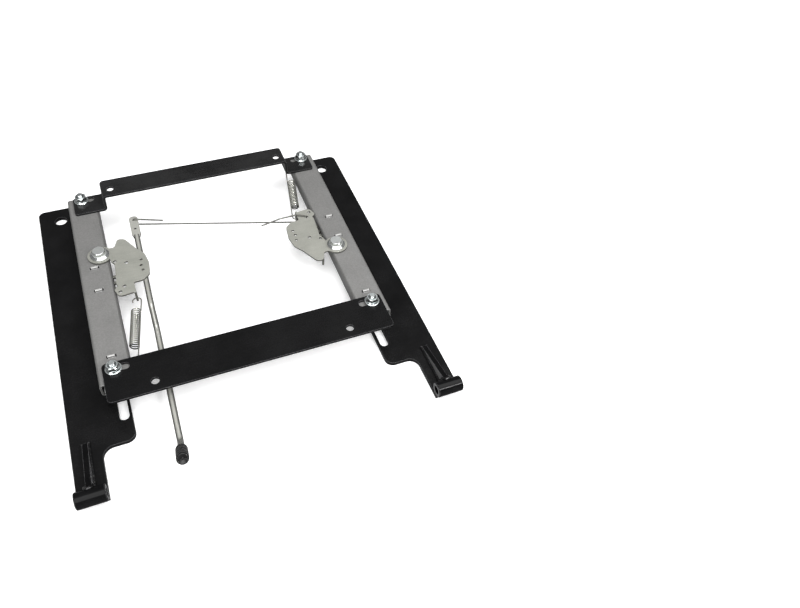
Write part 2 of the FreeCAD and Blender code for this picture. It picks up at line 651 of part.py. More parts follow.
def pivot_bolt(side, pivot_y):
    """Shouldered bolt with a round head on a sloped collar, riveted under the rail."""
    x = side * PIVOT_X
    under = RAIL_TOP_Z - RAIL_SHEET
    collar = LATCH_TOP_Z + LATCH_LIFT
    head = collar + PIVOT_COLLAR_HEIGHT + PIVOT_HEAD_HEIGHT
    stem = PIVOT_TAIL_D / 2 - 1
    shoulder = PIVOT_D / 2
    head_r = PIVOT_HEAD_D / 2
    profile = [
        (0, under - PIVOT_TAIL_HEIGHT),
        (PIVOT_TAIL_D / 2, under - PIVOT_TAIL_HEIGHT),
        (PIVOT_TAIL_D / 2, under),
        (stem, under),
        (stem, RAIL_TOP_Z),
        (shoulder, RAIL_TOP_Z),
        (shoulder, collar),
        (PIVOT_COLLAR_D / 2, collar),
        (PIVOT_COLLAR_D / 2, collar + PIVOT_COLLAR_EDGE),
        (head_r + PIVOT_COLLAR_EDGE, collar + PIVOT_COLLAR_HEIGHT),
        (head_r, collar + PIVOT_COLLAR_HEIGHT),
        (head_r, head - PIVOT_COLLAR_EDGE),
        (head_r - PIVOT_COLLAR_EDGE, head),
        (0, head),
        (0, under - PIVOT_TAIL_HEIGHT),
    ]
    points = [Vector(x + u, pivot_y, v) for u, v in profile]
    return Part.Face(Part.makePolygon(points)).revolve(Vector(x, pivot_y, 0), Vector(0, 0, 1), 360)


# Latch: stamped plate with a bent-down comb, a stop tab and a spring tongue
def latch_outline():
    """Corners of the stamping, from its pivot, for the left slider."""
    edge = COMB_EDGE
    return [
        (edge + COMB_LEAN, COMB_REAR_Y + 2.0, 1.0),
        (edge + 1.0, -22.0, 1.0),
        (15.8, -10.5, 3.0),
        (14.0, 2.0, 3.0),
        STOP_EDGE_START + (3.0,),
        STOP_EDGE_END + (4.0,),
        (32.0, 19.8, 7.0),
        (43.6, -2.5, 12.0),
        (51.5, -13.6, 9.0),
        (54.2, -30.0, 14.0),
        (51.7, -50.5, 7.0),
        (42.5, -58.0, 7.0),
        (TONGUE_X + LATCH_THICK, -58.5, 2.0),
        (TONGUE_X + LATCH_THICK, TONGUE_REAR_Y - TONGUE_ROOT_RUN, 0),
        (TONGUE_X, TONGUE_REAR_Y - TONGUE_ROOT_RUN, 0),
        (12.0, -76.5, 6.0),
        (edge - 1.5, -64.0, 4.0),
        (edge + 2.6, -59.5, 2.0),
        (edge, -56.5, 1.0),
    ]


def spring_tongue():
    """Leaf bent straight down from the latch plate, drilled for the spring."""
    top = LATCH_TOP_Z
    low = LATCH_Z - TONGUE_DROP
    side = [
        (TONGUE_REAR_Y, top, 0),
        (TONGUE_REAR_Y, LATCH_Z, 2.0),
        (SPRING_HOLE_Y + 4.2, LATCH_Z - 4.0, 3.0),
        (SPRING_HOLE_Y + 4.2, low, 3.5),
        (TONGUE_FRONT_Y, low, 3.5),
        (TONGUE_FRONT_Y + 3.0, top, 0),
    ]
    leaf = Part.Face(rounded_wire(side, lambda u, v: Vector(TONGUE_X, u, v))).extrude(Vector(LATCH_THICK, 0, 0))
    hole = Vector(TONGUE_X - 1, SPRING_HOLE_Y, LATCH_Z - SPRING_HOLE_DROP)
    return leaf.cut(rod(SPRING_HOLE_D, hole, hole + Vector(LATCH_THICK + 2, 0, 0)))


def latch_comb():
    """Edge bent down beside the rail, with teeth bent in through the rail's window."""
    lean = COMB_LEAN / (COMB_REAR_Y - COMB_FRONT_Y)
    rear_x = COMB_EDGE + COMB_LEAN
    comb = slab([
        (COMB_EDGE, COMB_FRONT_Y, 0),
        (COMB_EDGE + LATCH_THICK, COMB_FRONT_Y, 0),
        (rear_x + LATCH_THICK, COMB_REAR_Y, 0),
        (rear_x, COMB_REAR_Y, 0),
    ], LATCH_Z + 1 - TOOTH_Z, TOOTH_Z)
    teeth = []
    for i in range(TOOTH_COUNT):
        y = -FIRST_TOOTH_FROM_PIVOT - i * TOOTH_PITCH
        root = COMB_EDGE + lean * (y - COMB_FRONT_Y) + LATCH_THICK / 2
        teeth.append(box(Vector(TOOTH_TIP_X, y - TOOTH_WIDTH / 2, TOOTH_Z),
                         Vector(root, y + TOOTH_WIDTH / 2, TOOTH_Z + LATCH_THICK)))
    return comb.multiFuse(teeth)


def stop_tab():
    """Tab bent straight down along the short edge beside the eye."""
    run = Vector(STOP_EDGE_END[0] - STOP_EDGE_START[0], STOP_EDGE_END[1] - STOP_EDGE_START[1], 0)
    tab = box(Vector(0, STOP_TAB_FROM_START, LATCH_Z - STOP_TAB_DROP),
              Vector(LATCH_THICK, STOP_TAB_FROM_START + STOP_TAB_LENGTH, LATCH_TOP_Z))
    tab.rotate(Vector(0, 0, 0), Vector(0, 0, 1), -math.degrees(math.atan2(run.x, run.y)))
    tab.translate(Vector(*STOP_EDGE_START, 0))
    return tab


def latch_holes():
    """Places and diameters of the round holes beside the pivot hole."""
    holes = [(15.8, -14.0, EYE_HOLE_D), WIRE_HOLE_LOCAL + (LATCH_HOLE_D,)]
    holes += [(28.2, -23.0, LATCH_HOLE_D), (14.6, -69.5, LATCH_HOLE_D)]
    return holes + [(45.9, -23.5, RIVET_HOLE_D), (44.2, -33.0, RIVET_HOLE_D), (45.2, -41.5, RIVET_HOLE_D)]


def latch_plate():
    """Latch stamping with its pivot on the origin, as it stands on the left rail."""
    plate = slab(latch_outline(), LATCH_THICK, LATCH_Z)
    eye = rod(2 * EYE_R, Vector(0, 0, LATCH_Z), Vector(0, 0, LATCH_TOP_Z))
    parts = [eye, latch_comb(), spring_tongue(), stop_tab()]
    plate = plate.multiFuse(parts)
    low = LATCH_Z - 1
    high = LATCH_TOP_Z + 1
    cutters = [rod(PIVOT_D + 2 * PIVOT_PLAY, Vector(0, 0, low), Vector(0, 0, high))]
    for x, y, diameter in latch_holes():
        cutters.append(rod(diameter, Vector(x, y, low), Vector(x, y, high)))
    return plate.cut(Part.makeCompound(cutters)).removeSplitter()


def on_left(shape):
    """Bring a piece of the latch from the origin to the left pivot."""
    return shape.translated(Vector(-PIVOT_X, LEFT_PIVOT_Y, 0))


def on_right(shape):
    """Bring a piece of the latch to the right pivot, turned half round."""
    return turned(shape, 180, 0, 0).translated(Vector(PIVOT_X, RIGHT_PIVOT_Y, 0))


# Lever, grip and link wire
def handle_point(distance):
    """Point on the upturned end of the lever, this far from its bend."""
    y = HANDLE_BEND_Y - distance * math.cos(HANDLE_ANGLE)
    return Vector(lever_x(HANDLE_BEND_Y), y, LOW_LEVER_Z + distance * math.sin(HANDLE_ANGLE))


def release_lever():
    """Rod flattened at the rear, joggled down under the crossbar and turned up in front."""
    points = [
        Vector(lever_x(FLAT_FRONT_Y), FLAT_FRONT_Y, LEVER_Z),
        Vector(lever_x(JOGGLE_REAR_Y), JOGGLE_REAR_Y, LEVER_Z),
        Vector(lever_x(JOGGLE_FRONT_Y), JOGGLE_FRONT_Y, LOW_LEVER_Z),
        Vector(lever_x(HANDLE_BEND_Y), HANDLE_BEND_Y, LOW_LEVER_Z),
        handle_point(HANDLE_RUN - GRIP_END_WALL),
    ]
    stem = bent_rod(points, LEVER_D, LEVER_BEND_R)
    half = FLAT_WIDTH / 2
    neck = LEVER_D / 2
    flat = slab([
        (-half, FLAT_LENGTH, FLAT_END_R),
        (-half, FLAT_NECK_RUN, FLAT_NECK_RUN),
        (-neck, -FLAT_NECK_RUN, 0),
        (neck, -FLAT_NECK_RUN, 0),
        (half, FLAT_NECK_RUN, FLAT_NECK_RUN),
        (half, FLAT_LENGTH, FLAT_END_R),
    ], FLAT_THICK, LEVER_Z - FLAT_THICK / 2)
    flat.rotate(Vector(0, 0, 0), Vector(0, 0, 1), -math.degrees(LEVER_SKEW))
    flat.translate(Vector(lever_x(FLAT_FRONT_Y), FLAT_FRONT_Y, 0))
    cutters = []
    for step in (0, FLAT_HOLE_PITCH):
        y = LEVER_REAR_Y - FLAT_HOLE_FROM_END - step
        low = Vector(lever_x(y), y, LEVER_Z - FLAT_THICK)
        cutters.append(rod(WIRE_D + 2 * WIRE_PLAY, low, low + Vector(0, 0, 2 * FLAT_THICK)))
    return stem.fuse(flat).cut(Part.makeCompound(cutters)).removeSplitter()


def lever_grip():
    """Rubber sleeve pushed on the upturned end, closed and rounded at its tip."""
    start = handle_point(HANDLE_RUN - GRIP_LENGTH)
    stop = handle_point(HANDLE_RUN)
    sleeve = rod(GRIP_D, start, stop)
    rims = [edge for edge in sleeve.Edges if edge.Curve.TypeId == "Part::GeomCircle"]
    sleeve = sleeve.makeFillet(GRIP_ROUND, rims)
    bottom = handle_point(HANDLE_RUN - GRIP_END_WALL + GRIP_WALL_GAP)
    hollow = rod(LEVER_D + 2 * GRIP_WALL_GAP, start - (stop - start).normalize(), bottom)
    return sleeve.cut(hollow)


def wire_ends():
    """Plan places of the two holes that the link wire hooks into."""
    y = LEVER_REAR_Y - FLAT_HOLE_FROM_END
    left = Vector(lever_x(y), y, 0)
    right = Vector(PIVOT_X - WIRE_HOLE_LOCAL[0], RIGHT_PIVOT_Y - WIRE_HOLE_LOCAL[1], 0)
    return left, right


def link_wire():
    """Spring wire hooked up through both holes, each end laid back over itself."""
    left, right = wire_ends()
    way = (right - left).normalize()
    up = Vector(0, 0, 1)
    spread = way.cross(up) * -1
    points = [
        left + way * LEFT_TAIL + spread * LEFT_TAIL_ASIDE + up * LEFT_TAIL_Z,
        left + up * LEFT_TAIL_Z,
        left + up * WIRE_LEFT_Z,
        right + up * WIRE_RIGHT_Z,
        right + up * RIGHT_TAIL_Z,
    ]
    points += [right - way * back + spread * aside + up * RIGHT_TAIL_Z for back, aside in RIGHT_TAIL]
    return bent_rod(points, WIRE_D, WIRE_BEND_R)


# Springs and ball slides
def latch_spring():
    """Tension spring from the tongue to the rail wall, with the pivot on the origin."""
    mean_r = (SPRING_D - SPRING_WIRE_D) / 2
    slope = math.atan2(SPRING_PITCH, 2 * math.pi * mean_r)
    elbow = SPRING_ELBOW_R
    rise = elbow * (1 - math.sin(slope))
    coil_start = mean_r + SPRING_HOOK_LEG + elbow * math.cos(slope)
    coil_stop = coil_start + SPRING_TURNS * SPRING_PITCH
    hook = Vector(TONGUE_X + LATCH_THICK / 2, SPRING_HOLE_Y, LATCH_Z - SPRING_HOLE_DROP)
    coil_x = PIVOT_FROM_RAIL_SIDE + SPRING_WALL_GAP + SPRING_D / 2
    slant = math.asin((hook.x - coil_x) / coil_stop)
    way = Vector(-math.sin(slant), -math.cos(slant), 0)
    out = Vector(math.cos(slant), -math.sin(slant), 0)
    up = Vector(0, 0, 1)

    def spot(aside, height, along):
        return hook + out * aside + up * height + way * along

    def elbow_middle(along, turn):
        half = (math.pi / 2 - slope) / 2
        return spot(mean_r, rise + turn * elbow * (math.cos(half) - math.sin(slope)),
                    along + turn * elbow * (math.cos(slope) - math.sin(half)))

    coil = Part.makeHelix(SPRING_PITCH, SPRING_TURNS * SPRING_PITCH, mean_r)
    section = Part.Wire([Part.makeCircle(SPRING_WIRE_D / 2, Vector(mean_r, 0, 0),
                                         Vector(0, math.cos(slope), math.sin(slope)))])
    body = Part.Wire(coil.Edges).makePipeShell([section], True, True)
    body.rotate(Vector(0, 0, 0), Vector(1, 0, 0), 90)
    body.rotate(Vector(0, 0, 0), up, -math.degrees(slant))
    body.translate(spot(0, rise, coil_start))
    loop_start = spot(mean_r, 0, mean_r)
    loop_stop = spot(-mean_r * math.cos(SPRING_CURL), 0, mean_r * (1 + math.sin(SPRING_CURL)))
    leg_stop = spot(mean_r, 0, mean_r + SPRING_HOOK_LEG)
    hook_edges = [
        Part.Arc(loop_stop, hook, loop_start).toShape(),
        Part.LineSegment(loop_start, leg_stop).toShape(),
        Part.Arc(leg_stop, elbow_middle(coil_start, -1), spot(mean_r, rise, coil_start)).toShape(),
    ]
    far_stop = spot(mean_r, 2 * rise, coil_stop + elbow * math.cos(slope))
    length = (far_stop.y - SPRING_ANCHOR_Y) / math.cos(slant)
    corner = far_stop + way * length
    tip = Vector(PIVOT_FROM_RAIL_SIDE - RAIL_SHEET - SPRING_TIP_PROUD, SPRING_ANCHOR_Y, corner.z)
    far_elbow = Part.Arc(spot(mean_r, rise, coil_stop), elbow_middle(coil_stop, 1), far_stop).toShape()
    ends = [swept(hook_edges, SPRING_WIRE_D), swept([far_elbow], SPRING_WIRE_D),
            bent_rod([far_stop, corner, tip], SPRING_WIRE_D, SPRING_ELBOW_R)]
    return body.multiFuse(ends)


def spring_anchor(side, pivot_y, way):
    """Hole in the inner wall of the upper rail for the long leg of the spring."""
    mean_r = (SPRING_D - SPRING_WIRE_D) / 2
    slope = math.atan2(SPRING_PITCH, 2 * math.pi * mean_r)
    height = LATCH_Z - SPRING_HOLE_DROP + 2 * SPRING_ELBOW_R * (1 - math.sin(slope))
    here = Vector(side * (RAIL_X - UPPER_RAIL_WIDTH / 2), pivot_y - way * SPRING_ANCHOR_Y, height)
    reach = Vector(side * (RAIL_SHEET + 1), 0, 0)
    return rod(SPRING_HOLE_D, here - Vector(side, 0, 0), here + reach)


def ball_rows():
    """Distances to the rear at which each row has its balls."""
    return [FRONT_BALL_Y, FRONT_BALL_Y + BALL_SPACING, REAR_BALL_Y - BALL_SPACING, REAR_BALL_Y]


def bearing_balls(side, flank):
    """Balls of one cage, above and under one flange."""
    balls = []
    for z in (LOWER_BALL_Z, UPPER_BALL_Z):
        for y in ball_rows():
            centre = Vector(side * RAIL_X + flank * BALL_X, y, PLATE_TOP + z)
            balls.append(Part.makeSphere(BALL_SEAT / 2 - BALL_CLEARANCE, centre))
    return Part.makeCompound(balls)


def ball_cage(side, flank):
    """Upright strip with a hole for each ball, waisted above the latch teeth."""
    rows = ball_rows()
    front = rows[0] - CAGE_END_MARGIN
    rear = rows[-1] + CAGE_END_MARGIN
    waist_front = rows[1] + CAGE_END_MARGIN
    waist_rear = rows[2] - CAGE_END_MARGIN
    low = PLATE_TOP + UPPER_LIP_TOP + 1
    high = PLATE_TOP + UPPER_RAIL_TOP - RAIL_SHEET - 1
    waist = TOOTH_Z + LATCH_THICK + CAGE_SIDE_GAP
    near = side * RAIL_X + flank * CAGE_INNER
    far = side * RAIL_X + flank * CAGE_OUTER
    strip = box(Vector(min(near, far), front, low), Vector(max(near, far), rear, high))
    cutters = [box(Vector(min(near, far) - 1, waist_front, low - 1), Vector(max(near, far) + 1, waist_rear, waist))]
    for y in rows:
        for z in (LOWER_BALL_Z, UPPER_BALL_Z):
            start = Vector(min(near, far) - 1, y, PLATE_TOP + z)
            cutters.append(rod(BALL_SEAT - 2 * CAGE_HOLE_PLAY, start, start + Vector(CAGE_THICK + 2, 0, 0)))
    return strip.cut(Part.makeCompound(cutters))


def group(pieces):
    """Like pieces kept together in one file."""
    return Part.makeCompound(pieces)


def all_pieces():
    """Every piece by name, with the pivot tubes on the line y = 0."""
    sides = (-1, 1)
    ends = (STUD_FRONT_Y, STUD_REAR_Y)
    right_screws = [rail_screw(y, 0, PLATE_TOP + RAIL_SHEET + THIN_NUT_HEIGHT) for y in SCREW_ROWS_Y]
    right_nuts = [rail_nut(y) for y in SCREW_ROWS_Y]
    return {
        "left_side_plate": mirrored(right_side_plate()),
        "right_side_plate": right_side_plate(),
        "left_pivot_tube": mirrored(right_pivot_tube()),
        "right_pivot_tube": right_pivot_tube(),
        "left_gusset": mirrored(right_gusset()),
        "right_gusset": right_gusset(),
        "left_lower_rail": lower_rail(-1, LEFT_PIVOT_Y, -1),
        "right_lower_rail": lower_rail(1, RIGHT_PIVOT_Y, 1),
        "rail_screws": group(right_screws + [mirrored(piece) for piece in right_screws]),
        "rail_nuts": group(right_nuts + [mirrored(piece) for piece in right_nuts]),
        "left_upper_rail": upper_rail(-1, LEFT_PIVOT_Y, -1),
        "right_upper_rail": upper_rail(1, RIGHT_PIVOT_Y, 1),
        "rail_studs": group([rail_stud(side, y) for side in sides for y in ends]),
        "flange_nuts": group([flange_nut(side, y) for side in sides for y in ends]),
        "front_crossbar": front_crossbar(),
        "rear_strap": rear_strap(),
        "left_pivot_bolt": pivot_bolt(-1, LEFT_PIVOT_Y),
        "right_pivot_bolt": pivot_bolt(1, RIGHT_PIVOT_Y),
        "left_latch_plate": on_left(latch_plate()),
        "right_latch_plate": on_right(latch_plate()),
        "release_lever": release_lever(),
        "lever_grip": lever_grip(),
        "link_wire": link_wire(),
        "left_spring": on_left(latch_spring()),
        "right_spring": on_right(latch_spring()),
        "left_outer_cage": ball_cage(-1, -1),
        "left_inner_cage": ball_cage(-1, 1),
        "right_inner_cage": ball_cage(1, -1),
        "right_outer_cage": ball_cage(1, 1),
        "left_outer_balls": bearing_balls(-1, -1),
        "left_inner_balls": bearing_balls(-1, 1),
        "right_inner_balls": bearing_balls(1, -1),
        "right_outer_balls": bearing_balls(1, 1),
    }


# The origin is the middle of the outline, on the floor
os.makedirs("parts", exist_ok=True)
grip_rim = handle_point(HANDLE_RUN - GRIP_ROUND).y - (GRIP_D / 2 - GRIP_ROUND) * math.sin(HANDLE_ANGLE)
middle_y = (grip_rim - GRIP_ROUND + PLATE_REAR_Y) / 2
for name, shape in all_pieces().items():
    shape.translate(Vector(0, -middle_y, 0))
    shape.exportStep(os.path.join("parts", name + ".step"))
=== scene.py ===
import json
import math
import random

import bmesh
import bpy
from mathutils import Matrix, Vector


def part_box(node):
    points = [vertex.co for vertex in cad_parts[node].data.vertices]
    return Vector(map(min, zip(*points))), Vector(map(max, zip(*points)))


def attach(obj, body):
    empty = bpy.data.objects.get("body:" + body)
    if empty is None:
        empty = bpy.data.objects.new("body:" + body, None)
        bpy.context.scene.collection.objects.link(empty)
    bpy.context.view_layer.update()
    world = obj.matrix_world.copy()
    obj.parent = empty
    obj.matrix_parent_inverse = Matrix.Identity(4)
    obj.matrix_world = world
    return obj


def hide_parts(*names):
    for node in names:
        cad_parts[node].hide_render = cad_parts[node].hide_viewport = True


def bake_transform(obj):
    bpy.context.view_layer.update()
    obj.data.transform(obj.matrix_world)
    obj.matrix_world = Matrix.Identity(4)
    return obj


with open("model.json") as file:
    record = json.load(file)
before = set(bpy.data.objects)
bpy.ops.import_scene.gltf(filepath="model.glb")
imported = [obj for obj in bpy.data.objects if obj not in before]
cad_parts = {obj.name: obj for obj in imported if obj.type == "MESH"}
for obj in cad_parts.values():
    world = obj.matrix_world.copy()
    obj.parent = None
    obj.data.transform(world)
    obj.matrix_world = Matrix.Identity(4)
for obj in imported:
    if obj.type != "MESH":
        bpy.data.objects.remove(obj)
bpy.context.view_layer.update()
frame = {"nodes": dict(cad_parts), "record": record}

# The side plates: 5 mm steel strips, laser cut and powder coated in satin black.
# Their coat is slightly pebbled and thins along every cut edge, where a lighter colour is painted on, partly
# as that wear and partly as a painted highlight.


def new_group(name, inputs, outputs):
    """A node group with sockets of (label, kind, value) going in and (label, kind) coming out."""
    group = bpy.data.node_groups.new(name, "ShaderNodeTree")
    for label, kind, value in inputs:
        group.interface.new_socket(label, in_out="INPUT", socket_type=kind).default_value = value
    for label, kind in outputs:
        group.interface.new_socket(label, in_out="OUTPUT", socket_type=kind)
    return group, group.nodes.new("NodeGroupInput"), group.nodes.new("NodeGroupOutput")


def add(tree, kind, inputs=None, **settings):
    """A node with its settings, each of its inputs given a socket to follow or a value."""
    node = tree.nodes.new(kind)
    for key, value in settings.items():
        setattr(node, key, value)
    for key, value in (inputs or {}).items():
        if isinstance(value, bpy.types.NodeSocket):
            tree.links.new(value, node.inputs[key])
        else:
            node.inputs[key].default_value = value
    return node


def mix(tree, share, first, second):
    """Two numbers mixed, the second one by its share."""
    return add(tree, "ShaderNodeMix", {0: share, 2: first, 3: second}).outputs[0]


def tint(tree, share, first, second):
    """Two colours mixed, the second one by its share. A plain colour is (red, green, blue)."""
    first, second = ((*colour, 1) if isinstance(colour, tuple) else colour for colour in (first, second))
    return add(tree, "ShaderNodeMix", {0: share, 6: first, 7: second}, data_type="RGBA").outputs[2]


def ramp(tree, value, start, stop, low=0.0, high=1.0):
    """A value's way from start to stop, spread over low to high and held at both ends."""
    return add(tree, "ShaderNodeMapRange", {"Value": value, "From Min": start, "From Max": stop,
                                            "To Min": low, "To Max": high}).outputs[0]


def sum_of(tree, operation, *values, use_clamp=False):
    """One step of arithmetic on numbers or sockets."""
    return add(tree, "ShaderNodeMath", dict(enumerate(values)), operation=operation,
               use_clamp=use_clamp).outputs[0]


# Edge mask and rounded normal: where the faces turn over a cut or bent edge.
# The mask grows as the cosine between the plain and the rounded normal falls.
edge_begins, edge_full = 0.99, 0.80
edge_group, group_in, group_out = new_group(
    "cut_edges",
    [("Radius", "NodeSocketFloat", 0.0006)],
    [("Mask", "NodeSocketFloat"), ("Normal", "NodeSocketVector")],
)
round_normal = add(edge_group, "ShaderNodeBevel", {"Radius": group_in.outputs["Radius"]}, samples=6)
plain_normal = add(edge_group, "ShaderNodeNewGeometry")
facing = add(edge_group, "ShaderNodeVectorMath",
             {0: round_normal.outputs[0], 1: plain_normal.outputs["Normal"]}, operation="DOT_PRODUCT")
edge_mask = ramp(edge_group, facing.outputs["Value"], edge_begins, edge_full)
edge_group.links.new(edge_mask, group_out.inputs["Mask"])
edge_group.links.new(round_normal.outputs[0], group_out.inputs["Normal"])

# Surface grain: fine pebbles, broad cloudy patches and drawn streaks, all in object space
grain_group, group_in, group_out = new_group(
    "surface_grain",
    [("Fine Scale", "NodeSocketFloat", 900.0), ("Cloud Scale", "NodeSocketFloat", 25.0),
     ("Streak", "NodeSocketVector", (40.0, 900.0, 400.0))],
    [("Fine", "NodeSocketFloat"), ("Cloud", "NodeSocketFloat"), ("Streaks", "NodeSocketFloat")],
)
spot_on = add(grain_group, "ShaderNodeTexCoord").outputs["Object"]
fine = add(grain_group, "ShaderNodeTexNoise",
           {"Vector": spot_on, "Scale": group_in.outputs["Fine Scale"], "Detail": 3.0})
cloud = add(grain_group, "ShaderNodeTexNoise",
            {"Vector": spot_on, "Scale": group_in.outputs["Cloud Scale"], "Detail": 5.0, "Roughness": 0.6})
drawn = add(grain_group, "ShaderNodeVectorMath", {0: spot_on, 1: group_in.outputs["Streak"]},
            operation="MULTIPLY")
streaks = add(grain_group, "ShaderNodeTexNoise", {"Vector": drawn.outputs[0], "Scale": 1.0, "Detail": 2.0})
for label, noise in (("Fine", fine), ("Cloud", cloud), ("Streaks", streaks)):
    grain_group.links.new(noise.outputs[0], group_out.inputs[label])


def finish_material(name, base, light, edge, metallic, rough, bump, fine_scale=900.0, cloud_scale=25.0,
                    streak=(40.0, 900.0, 400.0), streak_share=0.4, edge_radius=0.0006, specular=0.5,
                    speckle=0.2, top_rough=None, shaded_side_share=1.0, crest_highlight=None, ends=None, painted_shade_attribute=None):
    """A finish: base to light by cloud and streaks, edge colour on the edges as wear and painted highlight,
    rough as (low, high).

    top_rough is the roughness of faces turned up and shaded_side_share the share of colour left on the
    others, which are darkened towards black as painted shade.
    crest_highlight is a height and a painted highlight colour above it, ends the colour of the faces turned
    along X, and painted_shade_attribute the name of a mesh attribute that marks what lies in the dark, where
    shade is painted on.
    """
    tone_band = (0.38, 0.62)
    gloss_band = (0.3, 0.7)
    turned_up = (0.80, 0.97)
    turned_sideways = (0.88, 0.97)
    wear_and_highlight_gain = 1.7
    crest_fade = 0.0004
    relief_height = 0.0002
    painted_shade_black = (0, 0, 0)
    inside_painted_shade = (0.02, 0.02, 0.018)
    material = bpy.data.materials.new(name)
    material.use_nodes = True
    tree = material.node_tree
    shader = tree.nodes["Principled BSDF"]
    shader.inputs["Metallic"].default_value = metallic
    shader.inputs["Specular IOR Level"].default_value = specular
    grain = add(tree, "ShaderNodeGroup", node_tree=grain_group)
    grain.inputs["Fine Scale"].default_value = fine_scale
    grain.inputs["Cloud Scale"].default_value = cloud_scale
    grain.inputs["Streak"].default_value = streak
    edges = add(tree, "ShaderNodeGroup", node_tree=edge_group)
    edges.inputs["Radius"].default_value = edge_radius
    mottle = mix(tree, streak_share, grain.outputs["Cloud"], grain.outputs["Streaks"])
    specks = mix(tree, speckle, mottle, grain.outputs["Fine"])
    skin = tint(tree, ramp(tree, specks, *tone_band), base, light)
    # Cut edges take the lighter edge colour, flecked by the cloud: partly wear of the coat, partly a painted
    # highlight.
    wear_and_highlight = sum_of(tree, "MULTIPLY", edges.outputs["Mask"], grain.outputs["Cloud"])
    wear_and_highlight = sum_of(tree, "MULTIPLY", wear_and_highlight, wear_and_highlight_gain, use_clamp=True)
    colour = tint(tree, wear_and_highlight, skin, edge)
    gloss = ramp(tree, mottle, *gloss_band, *rough)
    where = add(tree, "ShaderNodeTexCoord")
    turned = add(tree, "ShaderNodeSeparateXYZ", {0: where.outputs["Normal"]})
    top = ramp(tree, turned.outputs["Z"], *turned_up)
    # The faces that are not turned up are darkened towards black as painted shade.
    if shaded_side_share < 1.0:
        colour = tint(tree, ramp(tree, top, 0.0, 1.0, 1.0 - shaded_side_share, 0.0), colour, painted_shade_black)
    if top_rough:
        scuffed = sum_of(tree, "MAXIMUM", top, edges.outputs["Mask"])
        gloss = mix(tree, scuffed, gloss, top_rough)
    # Above the crest height the colour turns lighter: a painted highlight on the crests.
    if crest_highlight:
        crest_z, crest_highlight_colour = crest_highlight
        height = add(tree, "ShaderNodeSeparateXYZ", {0: where.outputs["Object"]}).outputs["Z"]
        colour = tint(tree, ramp(tree, height, crest_z, crest_z + crest_fade), colour, crest_highlight_colour)
    if ends:
        sideways = sum_of(tree, "ABSOLUTE", turned.outputs["X"])
        colour = tint(tree, ramp(tree, sideways, *turned_sideways), colour, ends)
    # Where the mesh attribute marks the dark, a near black is painted on as shade.
    if painted_shade_attribute:
        shaded_inside = add(tree, "ShaderNodeAttribute", attribute_name=painted_shade_attribute)
        colour = tint(tree, shaded_inside.outputs["Fac"], colour, inside_painted_shade)
    tree.links.new(colour, shader.inputs["Base Color"])
    tree.links.new(gloss, shader.inputs["Roughness"])
    relief = add(tree, "ShaderNodeBump", {"Strength": bump, "Distance": relief_height,
                                          "Height": grain.outputs["Fine"],
                                          "Normal": edges.outputs["Normal"]})
    tree.links.new(relief.outputs[0], shader.inputs["Normal"])
    return material


def dress(names, material):
    for name in names:
        for slot in frame["nodes"][name].material_slots:
            slot.material = material


black_coat = finish_material(
    "black_coat", base=(0.0035, 0.0035, 0.0037), light=(0.0085, 0.0085, 0.0088), edge=(0.12, 0.12, 0.125),
    metallic=0.0, rough=(0.14, 0.24), bump=0.30, fine_scale=1100.0, cloud_scale=18.0, streak_share=0.15,
    edge_radius=0.0007, specular=0.22, speckle=0.35)
dress(["left_side_plate", "right_side_plate"], black_coat)

# The pivot tubes and ribs: thick tube and flat rib, welded on the plate and coated with it.
# The coat lies glossier on the turned tube; its faced ends show worn grey metal.
tube_coat = finish_material(
    "tube_coat", base=(0.003, 0.003, 0.0032), light=(0.006, 0.006, 0.0063), edge=(0.14, 0.14, 0.145),
    metallic=0.0, rough=(0.02, 0.04), bump=0.01, cloud_scale=30.0, streak_share=0.1,
    edge_radius=0.0008, specular=0.11, ends=(0.10, 0.10, 0.102))
dress(["left_pivot_tube", "right_pivot_tube", "left_gusset", "right_gusset"], tube_coat)

# Weld beads: fillet welds along the foot of each rib and round the tube, coated black.
# Each is a run of overlapping scales, laid by hand, so the size wanders along the seam.
random.seed(7)
MM = 0.001


def keep_mesh(bm, name, material, sharp_angle=None):
    """The finished mesh as an object, smooth apart from edges sharper than the angle in degrees."""
    mesh = bpy.data.meshes.new(name)
    bm.to_mesh(mesh)
    bm.free()
    mesh.materials.clear()
    mesh.materials.append(material)
    if sharp_angle is not None:
        mesh.set_sharp_from_angle(angle=math.radians(sharp_angle))
    piece = bpy.data.objects.new(name, mesh)
    bpy.context.collection.objects.link(piece)
    return piece


def mesh_of(curve):
    """The mesh that a curve fills."""
    helper = bpy.data.objects.new("helper", curve)
    bpy.context.collection.objects.link(helper)
    bpy.context.view_layer.update()
    mesh = bpy.data.meshes.new_from_object(helper.evaluated_get(bpy.context.evaluated_depsgraph_get()))
    bpy.data.objects.remove(helper)
    return mesh


def run_of(name, points, radius, material, swell=0.0, sides=6):
    """A round run through these points, swelling and shrinking where swell is above 0."""
    wave_step = 1.9
    curve = bpy.data.curves.new(name, "CURVE")
    curve.dimensions = "3D"
    curve.bevel_depth = radius
    curve.bevel_resolution = sides
    curve.use_fill_caps = True
    line = curve.splines.new("POLY")
    line.points.add(len(points) - 1)
    for i, point in enumerate(points):
        line.points[i].co = (*point, 1)
        line.points[i].radius = 1 + swell * (math.sin(i * wave_step) + random.uniform(-0.5, 0.5))
    mesh = mesh_of(curve)
    mesh.name = name
    mesh.materials.clear()
    mesh.materials.append(material)
    mesh.shade_smooth()
    piece = bpy.data.objects.new(name, mesh)
    bpy.context.collection.objects.link(piece)
    return piece


def seam(start, stop, step):
    """Points a step or a little more apart on the straight line from start to stop."""
    start, stop = Vector(start), Vector(stop)
    count = max(2, int((stop - start).length / step))
    return [start.lerp(stop, i / count) for i in range(count + 1)]


